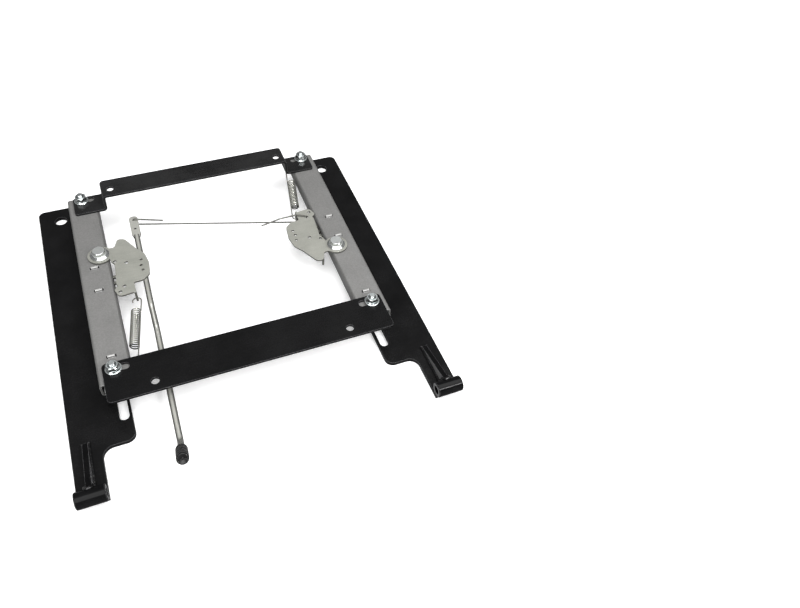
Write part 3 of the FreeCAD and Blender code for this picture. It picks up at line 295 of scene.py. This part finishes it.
weld_coat = finish_material(
    "weld_coat", base=(0.003, 0.003, 0.0032), light=(0.007, 0.007, 0.0073), edge=(0.06, 0.06, 0.065),
    metallic=0.0, rough=(0.05, 0.12), bump=0.8, fine_scale=500.0, cloud_scale=60.0, streak_share=0.1)
rib_bead_r, rib_bead_step, rib_bead_off, rib_bead_past = 1.7 * MM, 1.1 * MM, 0.8 * MM, 0.5 * MM
rib_bead_start_z, rib_bead_stop_z = 0.5 * MM, 0.3 * MM
tube_bead_r, tube_bead_step, tube_bead_off = 2.1 * MM, 1.2 * MM, 6.5 * MM
tube_bead_z, tube_bead_short = 1.2 * MM, 1.0 * MM
arch_bead_r, arch_bead_off, arch_over, arch_wider = 2.3 * MM, 0.9 * MM, 1.8 * MM, 6.0 * MM
arch_steps = 18
for side in ("left", "right"):
    rib_low, rib_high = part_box(side + "_gusset")
    tube_low, tube_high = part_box(side + "_pivot_tube")
    plate_z = rib_low[2]
    tube_y, tube_z = ((tube_low[axis] + tube_high[axis]) / 2 for axis in (1, 2))
    tube_r = (tube_high[1] - tube_low[1]) / 2
    beads = []
    for flank, x in (("in", rib_low[0] - rib_bead_off), ("out", rib_high[0] + rib_bead_off)):
        foot = seam((x, tube_y + 0.9 * tube_r, plate_z + rib_bead_start_z),
                    (x, rib_high[1] + rib_bead_past, plate_z + rib_bead_stop_z), rib_bead_step)
        beads.append(run_of(f"{side}_rib_weld_{flank}", foot, rib_bead_r, weld_coat, swell=0.13))
    back_y, back_z = tube_y + tube_bead_off, plate_z + tube_bead_z
    back = seam((tube_low[0] + tube_bead_short, back_y, back_z),
                (tube_high[0] - tube_bead_short, back_y, back_z), tube_bead_step)
    beads.append(run_of(f"{side}_tube_weld", back, tube_bead_r, weld_coat, swell=0.12))
    rib_x = (rib_low[0] + rib_high[0]) / 2
    arch_half = (rib_high[0] - rib_low[0] + arch_wider) / 2
    arch = []
    for i in range(arch_steps + 1):
        across = -1 + 2 * i / arch_steps
        z = plate_z + (rib_high[2] - plate_z + arch_over) * (1 - abs(across) ** 3)
        y = tube_y + math.sqrt(max(0.0, tube_r ** 2 - (z - tube_z) ** 2)) + arch_bead_off
        arch.append((rib_x + across * arch_half, y, z))
    beads.append(run_of(f"{side}_arch_weld", arch, arch_bead_r, weld_coat, swell=0.25))
    for bead in beads:
        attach(bead, "base")

# The rails: rolled 2 mm channels, zinc plated before forming. The upper one slides on the lower.
# The dull grey plating is faintly clouded and drawn lengthwise by the rolls. The small lanced
# ridges on the upper rails stand above ridge_z, where their crests are painted lighter as a highlight.
ridge_z = 0.0363
# The side walls keep three quarters of their colour, painted darker than the tops as shade.
rail_zinc = finish_material(
    "rail_zinc", base=(0.185, 0.183, 0.179), light=(0.245, 0.243, 0.237), edge=(0.55, 0.55, 0.55),
    metallic=0.30, rough=(0.36, 0.46), bump=0.10, fine_scale=700.0, cloud_scale=14.0,
    streak=(700.0, 12.0, 700.0), streak_share=0.15, edge_radius=0.0009, speckle=0.5, shaded_side_share=0.75,
    crest_highlight=(ridge_z, (0.42, 0.42, 0.41)))
dress(["left_lower_rail", "right_lower_rail", "left_upper_rail", "right_upper_rail"], rail_zinc)

# The screws and thin nuts that hold the lower rails: bright zinc plated steel.
# They are only seen from below and through the rails' open ends.
bright_zinc = finish_material(
    "bright_zinc", base=(0.62, 0.66, 0.66), light=(0.72, 0.76, 0.76), edge=(0.95, 0.97, 0.97),
    metallic=1.0, rough=(0.08, 0.14), bump=0.06, fine_scale=800.0, cloud_scale=120.0,
    streak=(300.0, 300.0, 300.0), edge_radius=0.0005, top_rough=0.42)
dress(["rail_screws", "rail_nuts"], bright_zinc)

# The flange nuts and stud tips: M8 flange nuts with a chamfered crown and a countersunk bore.
# The threaded tip of each stud stands 3 mm above its nut, and each nut stopped at its own angle.
dress(["rail_studs"], bright_zinc)
nut_low, nut_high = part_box("flange_nuts")
nut_tall = (nut_high[2] - nut_low[2]) / MM
flange_r, collar_r, collar_top, hex_flat_r, hex_crown_r, bore_r = 8.95, 7.9, 1.15, 6.5, 6.05, 4.06
nut_spots = [(x, y) for x in (nut_low[0] + flange_r * MM, nut_high[0] - flange_r * MM)
             for y in (nut_low[1] + flange_r * MM, nut_high[1] - flange_r * MM)]
nut_turns = (0.35, 0.1, 0.75, 0.5)


def lathe(bm, rows, spot, z, turn=0.0, steps=72):
    """Rows of (radius, height) in mm round the axis at spot. Either can be a function of the angle."""
    grid = []
    for radius, height in rows:
        ring = []
        for i in range(steps):
            a = 2 * math.pi * i / steps
            r = radius(a) if callable(radius) else radius
            h = height(a) if callable(height) else height
            ring.append(bm.verts.new((spot[0] + r * math.cos(a + turn) * MM,
                                      spot[1] + r * math.sin(a + turn) * MM, z + h * MM)))
        grid.append(ring)
    for low_ring, high_ring in zip(grid, grid[1:]):
        for i in range(steps):
            j = (i + 1) % steps
            bm.faces.new((low_ring[i], low_ring[j], high_ring[j], high_ring[i]))


def hex_radius(a):
    return hex_flat_r / math.cos((a + math.pi / 6) % (math.pi / 3) - math.pi / 6)


nut_rows = [
    (bore_r, 0.0), (8.3, 0.0), (flange_r, 0.35), (flange_r, 0.9), (8.75, 1.1), (collar_r, collar_top),
    (hex_radius, lambda a: collar_top + max(0.0, collar_r - hex_radius(a)) * 1.1),
    (hex_radius, lambda a: nut_tall - 0.15 - (hex_radius(a) - 6.1) * 0.9),
    (hex_crown_r, nut_tall), (4.75, nut_tall), (bore_r, nut_tall - 0.7), (bore_r, 0.0),
]
tip_rows = [
    (3.98, -0.7), (3.98, 0.15), (3.5, 0.55), (3.5, 0.7), (3.96, 1.05), (3.96, 1.35), (3.45, 1.75),
    (3.45, 1.9), (3.9, 2.2), (3.7, 2.5), (3.1, 3.0), (0.01, 3.0),
]
for name, rows, base_z in (("crowned_nuts", nut_rows, nut_low[2]), ("threaded_tips", tip_rows, nut_high[2])):
    bm = bmesh.new()
    for turn, spot in zip(nut_turns, nut_spots):
        lathe(bm, rows, spot, base_z, turn)
    bmesh.ops.remove_doubles(bm, verts=bm.verts, dist=2e-5)
    bmesh.ops.recalc_face_normals(bm, faces=bm.faces)
    for face in bm.faces:
        face.smooth = True
    piece = keep_mesh(bm, name, bright_zinc, sharp_angle=24)
    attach(piece, "upper_frame")
    if name == "crowned_nuts":
        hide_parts("flange_nuts")

# The balls and their cages: polished steel balls held in strips of natural plastic.
# They run inside the rails and only show through the rails' ends.
ball_steel = finish_material(
    "ball_steel", base=(0.6, 0.6, 0.61), light=(0.7, 0.7, 0.71), edge=(0.8, 0.8, 0.8),
    metallic=1.0, rough=(0.08, 0.16), bump=0.02)
dress(["left_outer_balls", "left_inner_balls", "right_inner_balls", "right_outer_balls"], ball_steel)
cage_plastic = finish_material(
    "cage_plastic", base=(0.52, 0.50, 0.43), light=(0.6, 0.58, 0.5), edge=(0.66, 0.64, 0.58),
    metallic=0.0, rough=(0.4, 0.5), bump=0.2)
dress(["left_outer_cage", "left_inner_cage", "right_inner_cage", "right_outer_cage"], cage_plastic)

# The front bar and the rear strap: 3 mm flat steel, punched and bent, with the same satin black coat.
# The strap's coat is the lighter one of the two.
bar_coat = finish_material(
    "bar_coat", base=(0.0035, 0.0035, 0.0037), light=(0.0085, 0.0085, 0.0088), edge=(0.14, 0.14, 0.145),
    metallic=0.0, rough=(0.16, 0.26), bump=0.3, fine_scale=1100.0, cloud_scale=12.0, streak_share=0.15,
    edge_radius=0.0007, specular=0.20, speckle=0.35)
dress(["front_crossbar"], bar_coat)
strap_coat = finish_material(
    "strap_coat", base=(0.008, 0.008, 0.0082), light=(0.022, 0.022, 0.0223), edge=(0.14, 0.14, 0.145),
    metallic=0.0, rough=(0.16, 0.26), bump=0.3, fine_scale=1100.0, cloud_scale=12.0, streak_share=0.15,
    edge_radius=0.0007, specular=0.25, speckle=0.35)
dress(["rear_strap"], strap_coat)

# The pivot bolts: cold-headed on a sloped collar and plated in bright white zinc.
# Their flat tops are scuffed, the collars still shine.
white_zinc = finish_material(
    "white_zinc", base=(0.60, 0.62, 0.61), light=(0.70, 0.72, 0.71), edge=(0.92, 0.93, 0.92),
    metallic=0.9, rough=(0.10, 0.18), bump=0.08, fine_scale=700.0, cloud_scale=90.0,
    streak=(300.0, 300.0, 300.0), top_rough=0.5)
dress(["left_pivot_bolt", "right_pivot_bolt"], white_zinc)

# The latch plates: 2.5 mm steel stampings with a bent comb, plated with a pale yellow cast.
# Each has an eye on the pivot, a comb with three teeth, a stop tab and a tongue for the spring.
# The side faces keep two fifths of their colour, painted darker than the tops as shade.
latch_zinc = finish_material(
    "latch_zinc", base=(0.31, 0.315, 0.28), light=(0.40, 0.40, 0.36), edge=(0.62, 0.62, 0.58),
    metallic=0.4, rough=(0.34, 0.46), bump=0.12, fine_scale=800.0, cloud_scale=30.0,
    streak=(60.0, 500.0, 300.0), streak_share=0.3, speckle=0.35, shaded_side_share=0.4)
dress(["left_latch_plate", "right_latch_plate"], latch_zinc)


def rounded(corners, steps=4):
    """A closed line through corners of (x, y, radius), each turned on its own arc."""
    line = []
    for i, (x, y, radius) in enumerate(corners):
        here = Vector((x, y, 0))
        if radius == 0:
            line.append(here)
            continue
        back_way = Vector((*corners[i - 1][:2], 0)) - here
        on_way = Vector((*corners[(i + 1) % len(corners)][:2], 0)) - here
        half = back_way.angle(on_way) / 2
        cut = min(radius / math.tan(half), 0.45 * back_way.length, 0.45 * on_way.length)
        inward = (back_way.normalized() + on_way.normalized()).normalized()
        middle = here + inward * cut / math.cos(half)
        start = here + back_way.normalized() * cut - middle
        stop = here + on_way.normalized() * cut - middle
        line += [middle + start.slerp(stop, k / steps).normalized() * start.length for k in range(steps + 1)]
    return line


def circle(x, y, diameter, start=0.0, sweep=360.0, steps=20):
    """Points round a circle, or along the part of it that sweep covers, in degrees."""
    angles = [math.radians(start + sweep * k / steps) for k in range(steps + (sweep < 360))]
    return [Vector((x + diameter / 2 * math.cos(a), y + diameter / 2 * math.sin(a), 0)) for a in angles]


def stamped(bm, lines, thick, matrix, roll=0.18):
    """A flat stamping with holes, its first line the outline and its edges slightly rolled over."""
    curve = bpy.data.curves.new("stamping", "CURVE")
    curve.dimensions = "2D"
    curve.fill_mode = "BOTH"
    curve.extrude = thick / 2 - roll
    curve.bevel_depth = roll
    curve.bevel_resolution = 1
    curve.offset = -roll
    for line in lines:
        spline = curve.splines.new("POLY")
        spline.points.add(len(line) - 1)
        for point, spot in zip(spline.points, line):
            point.co = (*spot, 1)
        spline.use_cyclic_u = True
    mesh = mesh_of(curve)
    for face in mesh.polygons:
        face.use_smooth = abs(face.normal.z) < 0.99
    mesh.transform(matrix)
    bm.from_mesh(mesh)


latch_z, latch_thick = 35.2, 2.5
latch_top = latch_z + latch_thick
tucked_z = latch_top - 0.2
tooth_z, tooth_tip_x, tooth_root_x, tooth_half = 24.75, 5.7, 13.4, 2
tooth_rows = (-32.0, -42.0, -52.0)
comb_into_plate = 1
tongue_x, tongue_rear_y, tongue_low = 29.3, -64.5, 22.2
stop_start = Vector((17.5, 5.3, 0))
stop_way = Vector((5.9, 15.9, 0)).normalized()
tab_near, tab_far, tab_low = 4.9, 15.6, 24.2
eye = circle(0, 0, 29.0, start=33.5, sweep=282.0, steps=40)
# Corners of (x, y, radius) in mm from the pivot; the first and the last give way to the eye's arc
plate_line = eye + rounded([
    (10.4, -10.1, 0), (11.6, -16.2, 2.5), (14.7, -21.5, 1.5), (11.9, -56.5, 1.0), (13.2, -59.5, 2.0),
    (7.9, -64.0, 4.0), (12.0, -76.5, 6.0), (tongue_x, -74.5, 0), (tongue_x + latch_thick, -74.5, 0),
    (tongue_x + latch_thick, -58.5, 2.0), (42.5, -58.0, 7.0), (51.7, -50.5, 7.0), (54.2, -30.0, 14.0),
    (51.5, -13.6, 9.0), (43.6, -2.5, 12.0), (32.0, 19.8, 7.0), (23.4, 21.2, 4.0), (19.2, 9.9, 1.5),
    (17.2, 8.0, 1.5), (12.2, 7.9, 0),
])[1:-1]
# Holes of (x, y, diameter): pivot, relief, wire, middle, rear and the three small ones at the edge
plate_holes = [(0, 0, 10.2), (15.4, -16.8, 4.0), (20.4, -61.5, 4.4), (28.2, -23.0, 4.4), (14.6, -69.5, 4.4),
               (45.9, -23.5, 3.6), (44.2, -33.0, 3.6), (45.2, -41.5, 3.6)]
spring_hole = (-74.0, latch_z - 9.5, 3.0)
tongue_line = rounded([
    (tongue_rear_y, tucked_z, 0), (tongue_rear_y, latch_z, 2.0), (-69.8, 31.2, 3.0),
    (-69.8, tongue_low, 3.5), (-79.0, tongue_low, 3.5), (-76.0, tucked_z, 0),
])
tab_line = rounded([(tab_near, tucked_z, 0), (tab_near, tab_low, 1.5), (tab_far, tab_low, 2.5),
                    (tab_far, tucked_z, 0)])
comb_line = rounded([(12.1, -54.0, 0), (14.6, -54.0, 0), (16.8, -30.0, 0), (14.3, -30.0, 0)])
joints = {joint["name"]: joint for joint in frame["record"]["behaviour"]["joints"]}
upright = Matrix(((0, 0, 1, 0), (1, 0, 0, 0), (0, 1, 0, 0), (0, 0, 0, 1)))
leaf_at = Matrix.Translation((tongue_x + latch_thick / 2, 0, 0)) @ upright
lean = Matrix.Rotation(-math.atan2(stop_way.x, stop_way.y), 4, "Z")
tab_at = Matrix.Translation(stop_start) @ lean @ Matrix.Translation((latch_thick / 2, 0, 0)) @ upright
comb_tall = latch_z + comb_into_plate - tooth_z
for side, half_turn in (("left", 0.0), ("right", math.pi)):
    pivot = Vector(joints[side + "_latch_turn"]["pos_m"])
    place_at = (Matrix.Translation((pivot.x, pivot.y, 0)) @ Matrix.Rotation(half_turn, 4, "Z")
                @ Matrix.Scale(MM, 4))
    bm = bmesh.new()
    stamped(bm, [plate_line] + [circle(*hole) for hole in plate_holes], latch_thick,
            place_at @ Matrix.Translation((0, 0, latch_z + latch_thick / 2)))
    stamped(bm, [tongue_line, circle(*spring_hole)], latch_thick, place_at @ leaf_at)
    stamped(bm, [tab_line], latch_thick, place_at @ tab_at)
    stamped(bm, [comb_line], comb_tall, place_at @ Matrix.Translation((0, 0, tooth_z + comb_tall / 2)))
    for y in tooth_rows:
        tooth = rounded([(tooth_tip_x, y - tooth_half, 0.8), (tooth_root_x, y - tooth_half, 0),
                         (tooth_root_x, y + tooth_half, 0), (tooth_tip_x, y + tooth_half, 0.8)])
        stamped(bm, [tooth], latch_thick, place_at @ Matrix.Translation((0, 0, tooth_z + latch_thick / 2)))
    bmesh.ops.remove_doubles(bm, verts=bm.verts, dist=1e-6)
    bmesh.ops.recalc_face_normals(bm, faces=bm.faces)
    rolled = [face.smooth for face in bm.faces]
    piece = keep_mesh(bm, side + "_latch_stamping", latch_zinc, sharp_angle=30)
    piece.data.polygons.foreach_set("use_smooth", rolled)
    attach(piece, side + "_latch")
    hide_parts(side + "_latch_plate")

# The release lever: a 7 mm bright rod, forged flat at the rear end and bent cold.
# Its plating is drawn lengthwise; its flanks are painted darker than its top as shade.
lever_zinc = finish_material(
    "lever_zinc", base=(0.50, 0.50, 0.46), light=(0.66, 0.66, 0.61), edge=(0.80, 0.80, 0.76),
    metallic=0.5, rough=(0.20, 0.30), bump=0.1, fine_scale=700.0, cloud_scale=40.0,
    streak=(900.0, 20.0, 900.0), streak_share=0.5, shaded_side_share=0.3)
dress(["release_lever"], lever_zinc)

# The grip: a moulded rubber sleeve pushed over the rod, with shallow rings and a dimple in its end.
# The rubber is dull and black; the edges of its rings and its end are painted lighter as a highlight.
rubber = finish_material(
    "grip_rubber", base=(0.004, 0.004, 0.004), light=(0.016, 0.016, 0.016), edge=(0.16, 0.16, 0.16),
    metallic=0.0, rough=(0.20, 0.32), bump=0.5, fine_scale=1400.0, cloud_scale=160.0, streak_share=0.1,
    specular=0.4, edge_radius=0.0004)
grip_low, grip_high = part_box("lever_grip")
grip_slope = math.radians(45.0)
grip_axis = Vector((0, -math.cos(grip_slope), math.sin(grip_slope)))
end_round, end_flat_r = 2.0 * MM, 4.25 * MM
grip_tip = Vector(((grip_low[0] + grip_high[0]) / 2,
                   grip_low[1] + end_round + end_flat_r * math.sin(grip_slope),
                   grip_high[2] - end_round - end_flat_r * math.cos(grip_slope))) + grip_axis * end_round
grip_long, ring_count, ring_from, ring_pitch, ring_r, groove_r = 40.0, 7, 2.0, 4.6, 6.25, 5.85
# Half section of (radius, distance from the open end) in mm
outline = [(3.55, 0.0), (5.4, 0.0), (6.1, 0.5)]
for ring in range(ring_count):
    at = ring_from + ring * ring_pitch
    outline += [(ring_r, at), (ring_r, at + 3.4), (groove_r, at + 3.7), (groove_r, at + 4.3)]
outline += [(6.2, 34.4), (6.2, 38.0), (5.6, 39.3), (4.7, 39.8), (4.3, 39.0), (2.0, 39.0), (1.6, 38.3),
            (1.0, 38.3), (0.7, 39.2), (0.0, 39.4)]
bm = bmesh.new()
previous = None
for radius, along in outline:
    vert = bm.verts.new((radius * MM, 0, (along - grip_long) * MM))
    if previous:
        bm.edges.new((previous, vert))
    previous = vert
bmesh.ops.spin(bm, geom=bm.verts[:] + bm.edges[:], cent=(0, 0, 0), axis=(0, 0, 1), dvec=(0, 0, 0),
               angle=2 * math.pi, steps=32, use_merge=True)
bmesh.ops.remove_doubles(bm, verts=bm.verts, dist=1e-6)
bmesh.ops.recalc_face_normals(bm, faces=bm.faces)
turn = Vector((0, 0, 1)).rotation_difference(grip_axis).to_matrix().to_4x4()
bmesh.ops.transform(bm, matrix=Matrix.Translation(grip_tip) @ turn, verts=bm.verts)
for face in bm.faces:
    face.smooth = True
grip = keep_mesh(bm, "grip_sleeve", rubber)
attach(grip, "left_latch")
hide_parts("lever_grip")

# The springs: tension springs of 1.6 mm plated wire, hooked in the latch tongue.
# The far leg runs on beside the rail and ends in a hole of its wall. All lengths are in mm.
spring_steel = finish_material(
    "spring_steel", base=(0.46, 0.46, 0.42), light=(0.58, 0.58, 0.53), edge=(0.7, 0.7, 0.66),
    metallic=0.75, rough=(0.14, 0.22), bump=0.05, cloud_scale=80.0, painted_shade_attribute="coil_inside")
wire_r, coil_r, pitch, turns, turn_steps = 0.8, 5.1, 3.0, 18, 20
elbow, elbow_steps, hook_leg = 2.0, 5, 15.0
hook_from, hook_step, hook_points, hook_middle = -30, 15, 15, 6
hook_at = Vector((30.55, -74.0, 25.7))
wall_x, wall_gap, coil_room, anchor_y = 9.0, 1.0, 6.0, -187.0
corner_run, corner_cut, tip_inside = 2.0, 0.6, 1.9
shade_margin, shade_depth = 2, 0.9
coil_slope = math.atan2(pitch, 2 * math.pi * coil_r)
rise = elbow * (1 - math.sin(coil_slope))
coil_from = coil_r + hook_leg + elbow * math.cos(coil_slope)
coil_to = coil_from + turns * pitch
slant = math.asin((hook_at.x - (wall_x + wall_gap + coil_room)) / coil_to)
way = Vector((-math.sin(slant), -math.cos(slant), 0))
out = Vector((math.cos(slant), -math.sin(slant), 0))
up = Vector((0, 0, 1))


def spring_line():
    """The wire's middle line, in mm from the latch pivot, its height from the floor."""
    line = []
    for i in range(hook_points):
        a = math.radians(hook_from + i * hook_step)
        line.append(hook_at - out * coil_r * math.cos(a) + way * coil_r * (1 - math.sin(a)))
    near = hook_at + out * coil_r
    line.append(near + way * (coil_r + hook_leg))
    elbow_angles = [math.pi / 2 * i / elbow_steps for i in range(1, elbow_steps)]
    for a in elbow_angles:
        line.append(near + up * rise * (1 - math.cos(a)) + way * (coil_from - elbow * (1 - math.sin(a))))
    for i in range(turns * turn_steps + 1):
        a = 2 * math.pi * i / turn_steps
        line.append(hook_at + out * coil_r * math.cos(a) + up * (rise + coil_r * math.sin(a))
                    + way * (coil_from + pitch * i / turn_steps))
    for a in elbow_angles:
        line.append(near + up * (rise + rise * math.sin(a)) + way * (coil_to + elbow * (1 - math.cos(a))))
    last = near + up * 2 * rise
    corner = last + way * (last.y - anchor_y) / math.cos(slant)
    return line + [
        last + way * (coil_to + elbow),
        corner - way * corner_run,
        corner - way * corner_cut + Vector((-corner_cut, 0, 0)),
        corner + Vector((-corner_run, 0, 0)),
        Vector((wall_x - tip_inside, anchor_y, corner.z)),
    ]


for side, half_turn in (("left", 1), ("right", -1)):
    pivot = Vector(joints[side + "_latch_turn"]["pos_m"])
    points = [Vector((pivot.x + half_turn * point.x * MM, pivot.y + half_turn * point.y * MM, point.z * MM))
              for point in spring_line()]
    coil = run_of(side + "_coil_spring", points, wire_r * MM, spring_steel, sides=3)
    # Each vertex gets a share of painted shade, deeper the nearer it lies to the coil's axis, so the coil's
    # inner side is painted dark.
    shade = coil.data.attributes.new("coil_inside", "FLOAT", "POINT")
    for vert in coil.data.vertices:
        spot = Vector(((vert.co.x - pivot.x) / MM * half_turn, (vert.co.y - pivot.y) / MM * half_turn,
                       vert.co.z / MM)) - hook_at - up * rise
        along = spot.dot(way)
        if coil_from - shade_margin < along < coil_to + shade_margin:
            depth = (coil_r - (spot - way * along).length) / shade_depth
            shade.data[vert.index].value = min(1.0, max(0.0, 0.5 + depth))
    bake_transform(coil)
    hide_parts(side + "_spring")

# The link wire: 2 mm drawn wire from the lever's rear hole to the far latch plate.
# Both ends come up through their holes and are laid back over by hand.
wire_steel = finish_material(
    "wire_steel", base=(0.10, 0.10, 0.09), light=(0.17, 0.17, 0.155), edge=(0.2, 0.2, 0.19),
    metallic=0.8, rough=(0.24, 0.34), bump=0.05, cloud_scale=60.0)
dress(["link_wire"], wire_steel)

# The floor: a wide pale sheet, a hair below the part, so that the shadow lies on it.
# It glows a little to the camera alone, and is darker where plated metal mirrors it.
floor_tone, mirrored_tone, camera_glow = (0.93, 0.93, 0.93), (0.20, 0.20, 0.20), 0.3
floor_reach, floor_drop = 30.0, 0.0005
floor_material = bpy.data.materials.new("studio_floor")
floor_material.use_nodes = True
tree = floor_material.node_tree
shader = tree.nodes["Principled BSDF"]
shader.inputs["Roughness"].default_value = 0.9
shader.inputs["Specular IOR Level"].default_value = 0.0
shader.inputs["Emission Color"].default_value = (1, 1, 1, 1)
path = add(tree, "ShaderNodeLightPath")
pale = tint(tree, path.outputs["Is Glossy Ray"], floor_tone, mirrored_tone)
glow = sum_of(tree, "MULTIPLY", path.outputs["Is Camera Ray"], camera_glow)
tree.links.new(pale, shader.inputs["Base Color"])
tree.links.new(glow, shader.inputs["Emission Strength"])
bm = bmesh.new()
bmesh.ops.create_grid(bm, x_segments=1, y_segments=1, size=floor_reach)
floor = keep_mesh(bm, "studio_floor", floor_material)
floor.location.z = -floor_drop

# The light: a white room, a wide soft lamp overhead, a weaker one from the front left and a strip.
# In the plating the room is dim near the horizon and brighter overhead.
mirrored_low, mirrored_high, lit_room = 0.14, 0.6, 0.5
bright_from, bright_to = 0.78, 0.97
world = bpy.data.worlds.new("room")
bpy.context.scene.world = world
world.use_nodes = True
tree = world.node_tree
background = tree.nodes["Background"]
background.inputs["Color"].default_value = (1, 1, 1, 1)
path = add(tree, "ShaderNodeLightPath")
compass = add(tree, "ShaderNodeTexCoord")
height = add(tree, "ShaderNodeSeparateXYZ", {0: compass.outputs["Generated"]}).outputs["Z"]
mirrored = ramp(tree, height, bright_from, bright_to, mirrored_low, mirrored_high)
level = mix(tree, path.outputs["Is Glossy Ray"], lit_room, mirrored)
level = sum_of(tree, "MAXIMUM", path.outputs["Is Camera Ray"], level)
tree.links.new(level, background.inputs["Strength"])


def lamp(name, position, target, size, energy):
    data = bpy.data.lights.new(name, "AREA")
    data.shape = "RECTANGLE"
    data.size, data.size_y = size
    data.energy = energy
    item = bpy.data.objects.new(name, data)
    item.location = position
    item.rotation_euler = (Vector(target) - Vector(position)).to_track_quat("-Z", "Y").to_euler()
    bpy.context.collection.objects.link(item)


lamp("overhead", position=(0.2, -0.6, 2.2), target=(0, -0.2, 0), size=(3.0, 2.2), energy=66.0)
lamp("front_left", position=(-1.6, -1.4, 1.3), target=(0, 0, 0), size=(1.2, 1.2), energy=16.0)
lamp("front_strip", position=(0.72, -1.25, 1.15), target=(0.19, -0.2, 0.0), size=(0.5, 0.09), energy=11.0)

# The camera: the photograph's view, high in front and a little to the left.
# Its place and its three axes come from the camera fit, measured from the pivot tubes' axis.
mounts = {mount["name"]: mount for mount in frame["record"]["mounts"]}
pivot_axis_y = mounts["left_pivot_bore"]["pos_m"][1]
camera_data = bpy.data.cameras.new("camera")
camera_data.sensor_width = 36.0
camera_data.lens = 32.646
camera_data.clip_start = 0.05
camera = bpy.data.objects.new("camera", camera_data)
right = Vector((0.9231, -0.3789, 0.0652))
above = Vector((0.2464, 0.7132, 0.6563))
ahead = Vector((0.2953, 0.5898, -0.7517))
stand = Vector((-0.07808, -0.40102 + pivot_axis_y, 0.69558))
camera.matrix_world = Matrix.Translation(stand) @ Matrix((right, above, -ahead)).transposed().to_4x4()
bpy.context.collection.objects.link(camera)
bpy.context.scene.camera = camera
bpy.context.scene.view_settings.view_transform = "Standard"
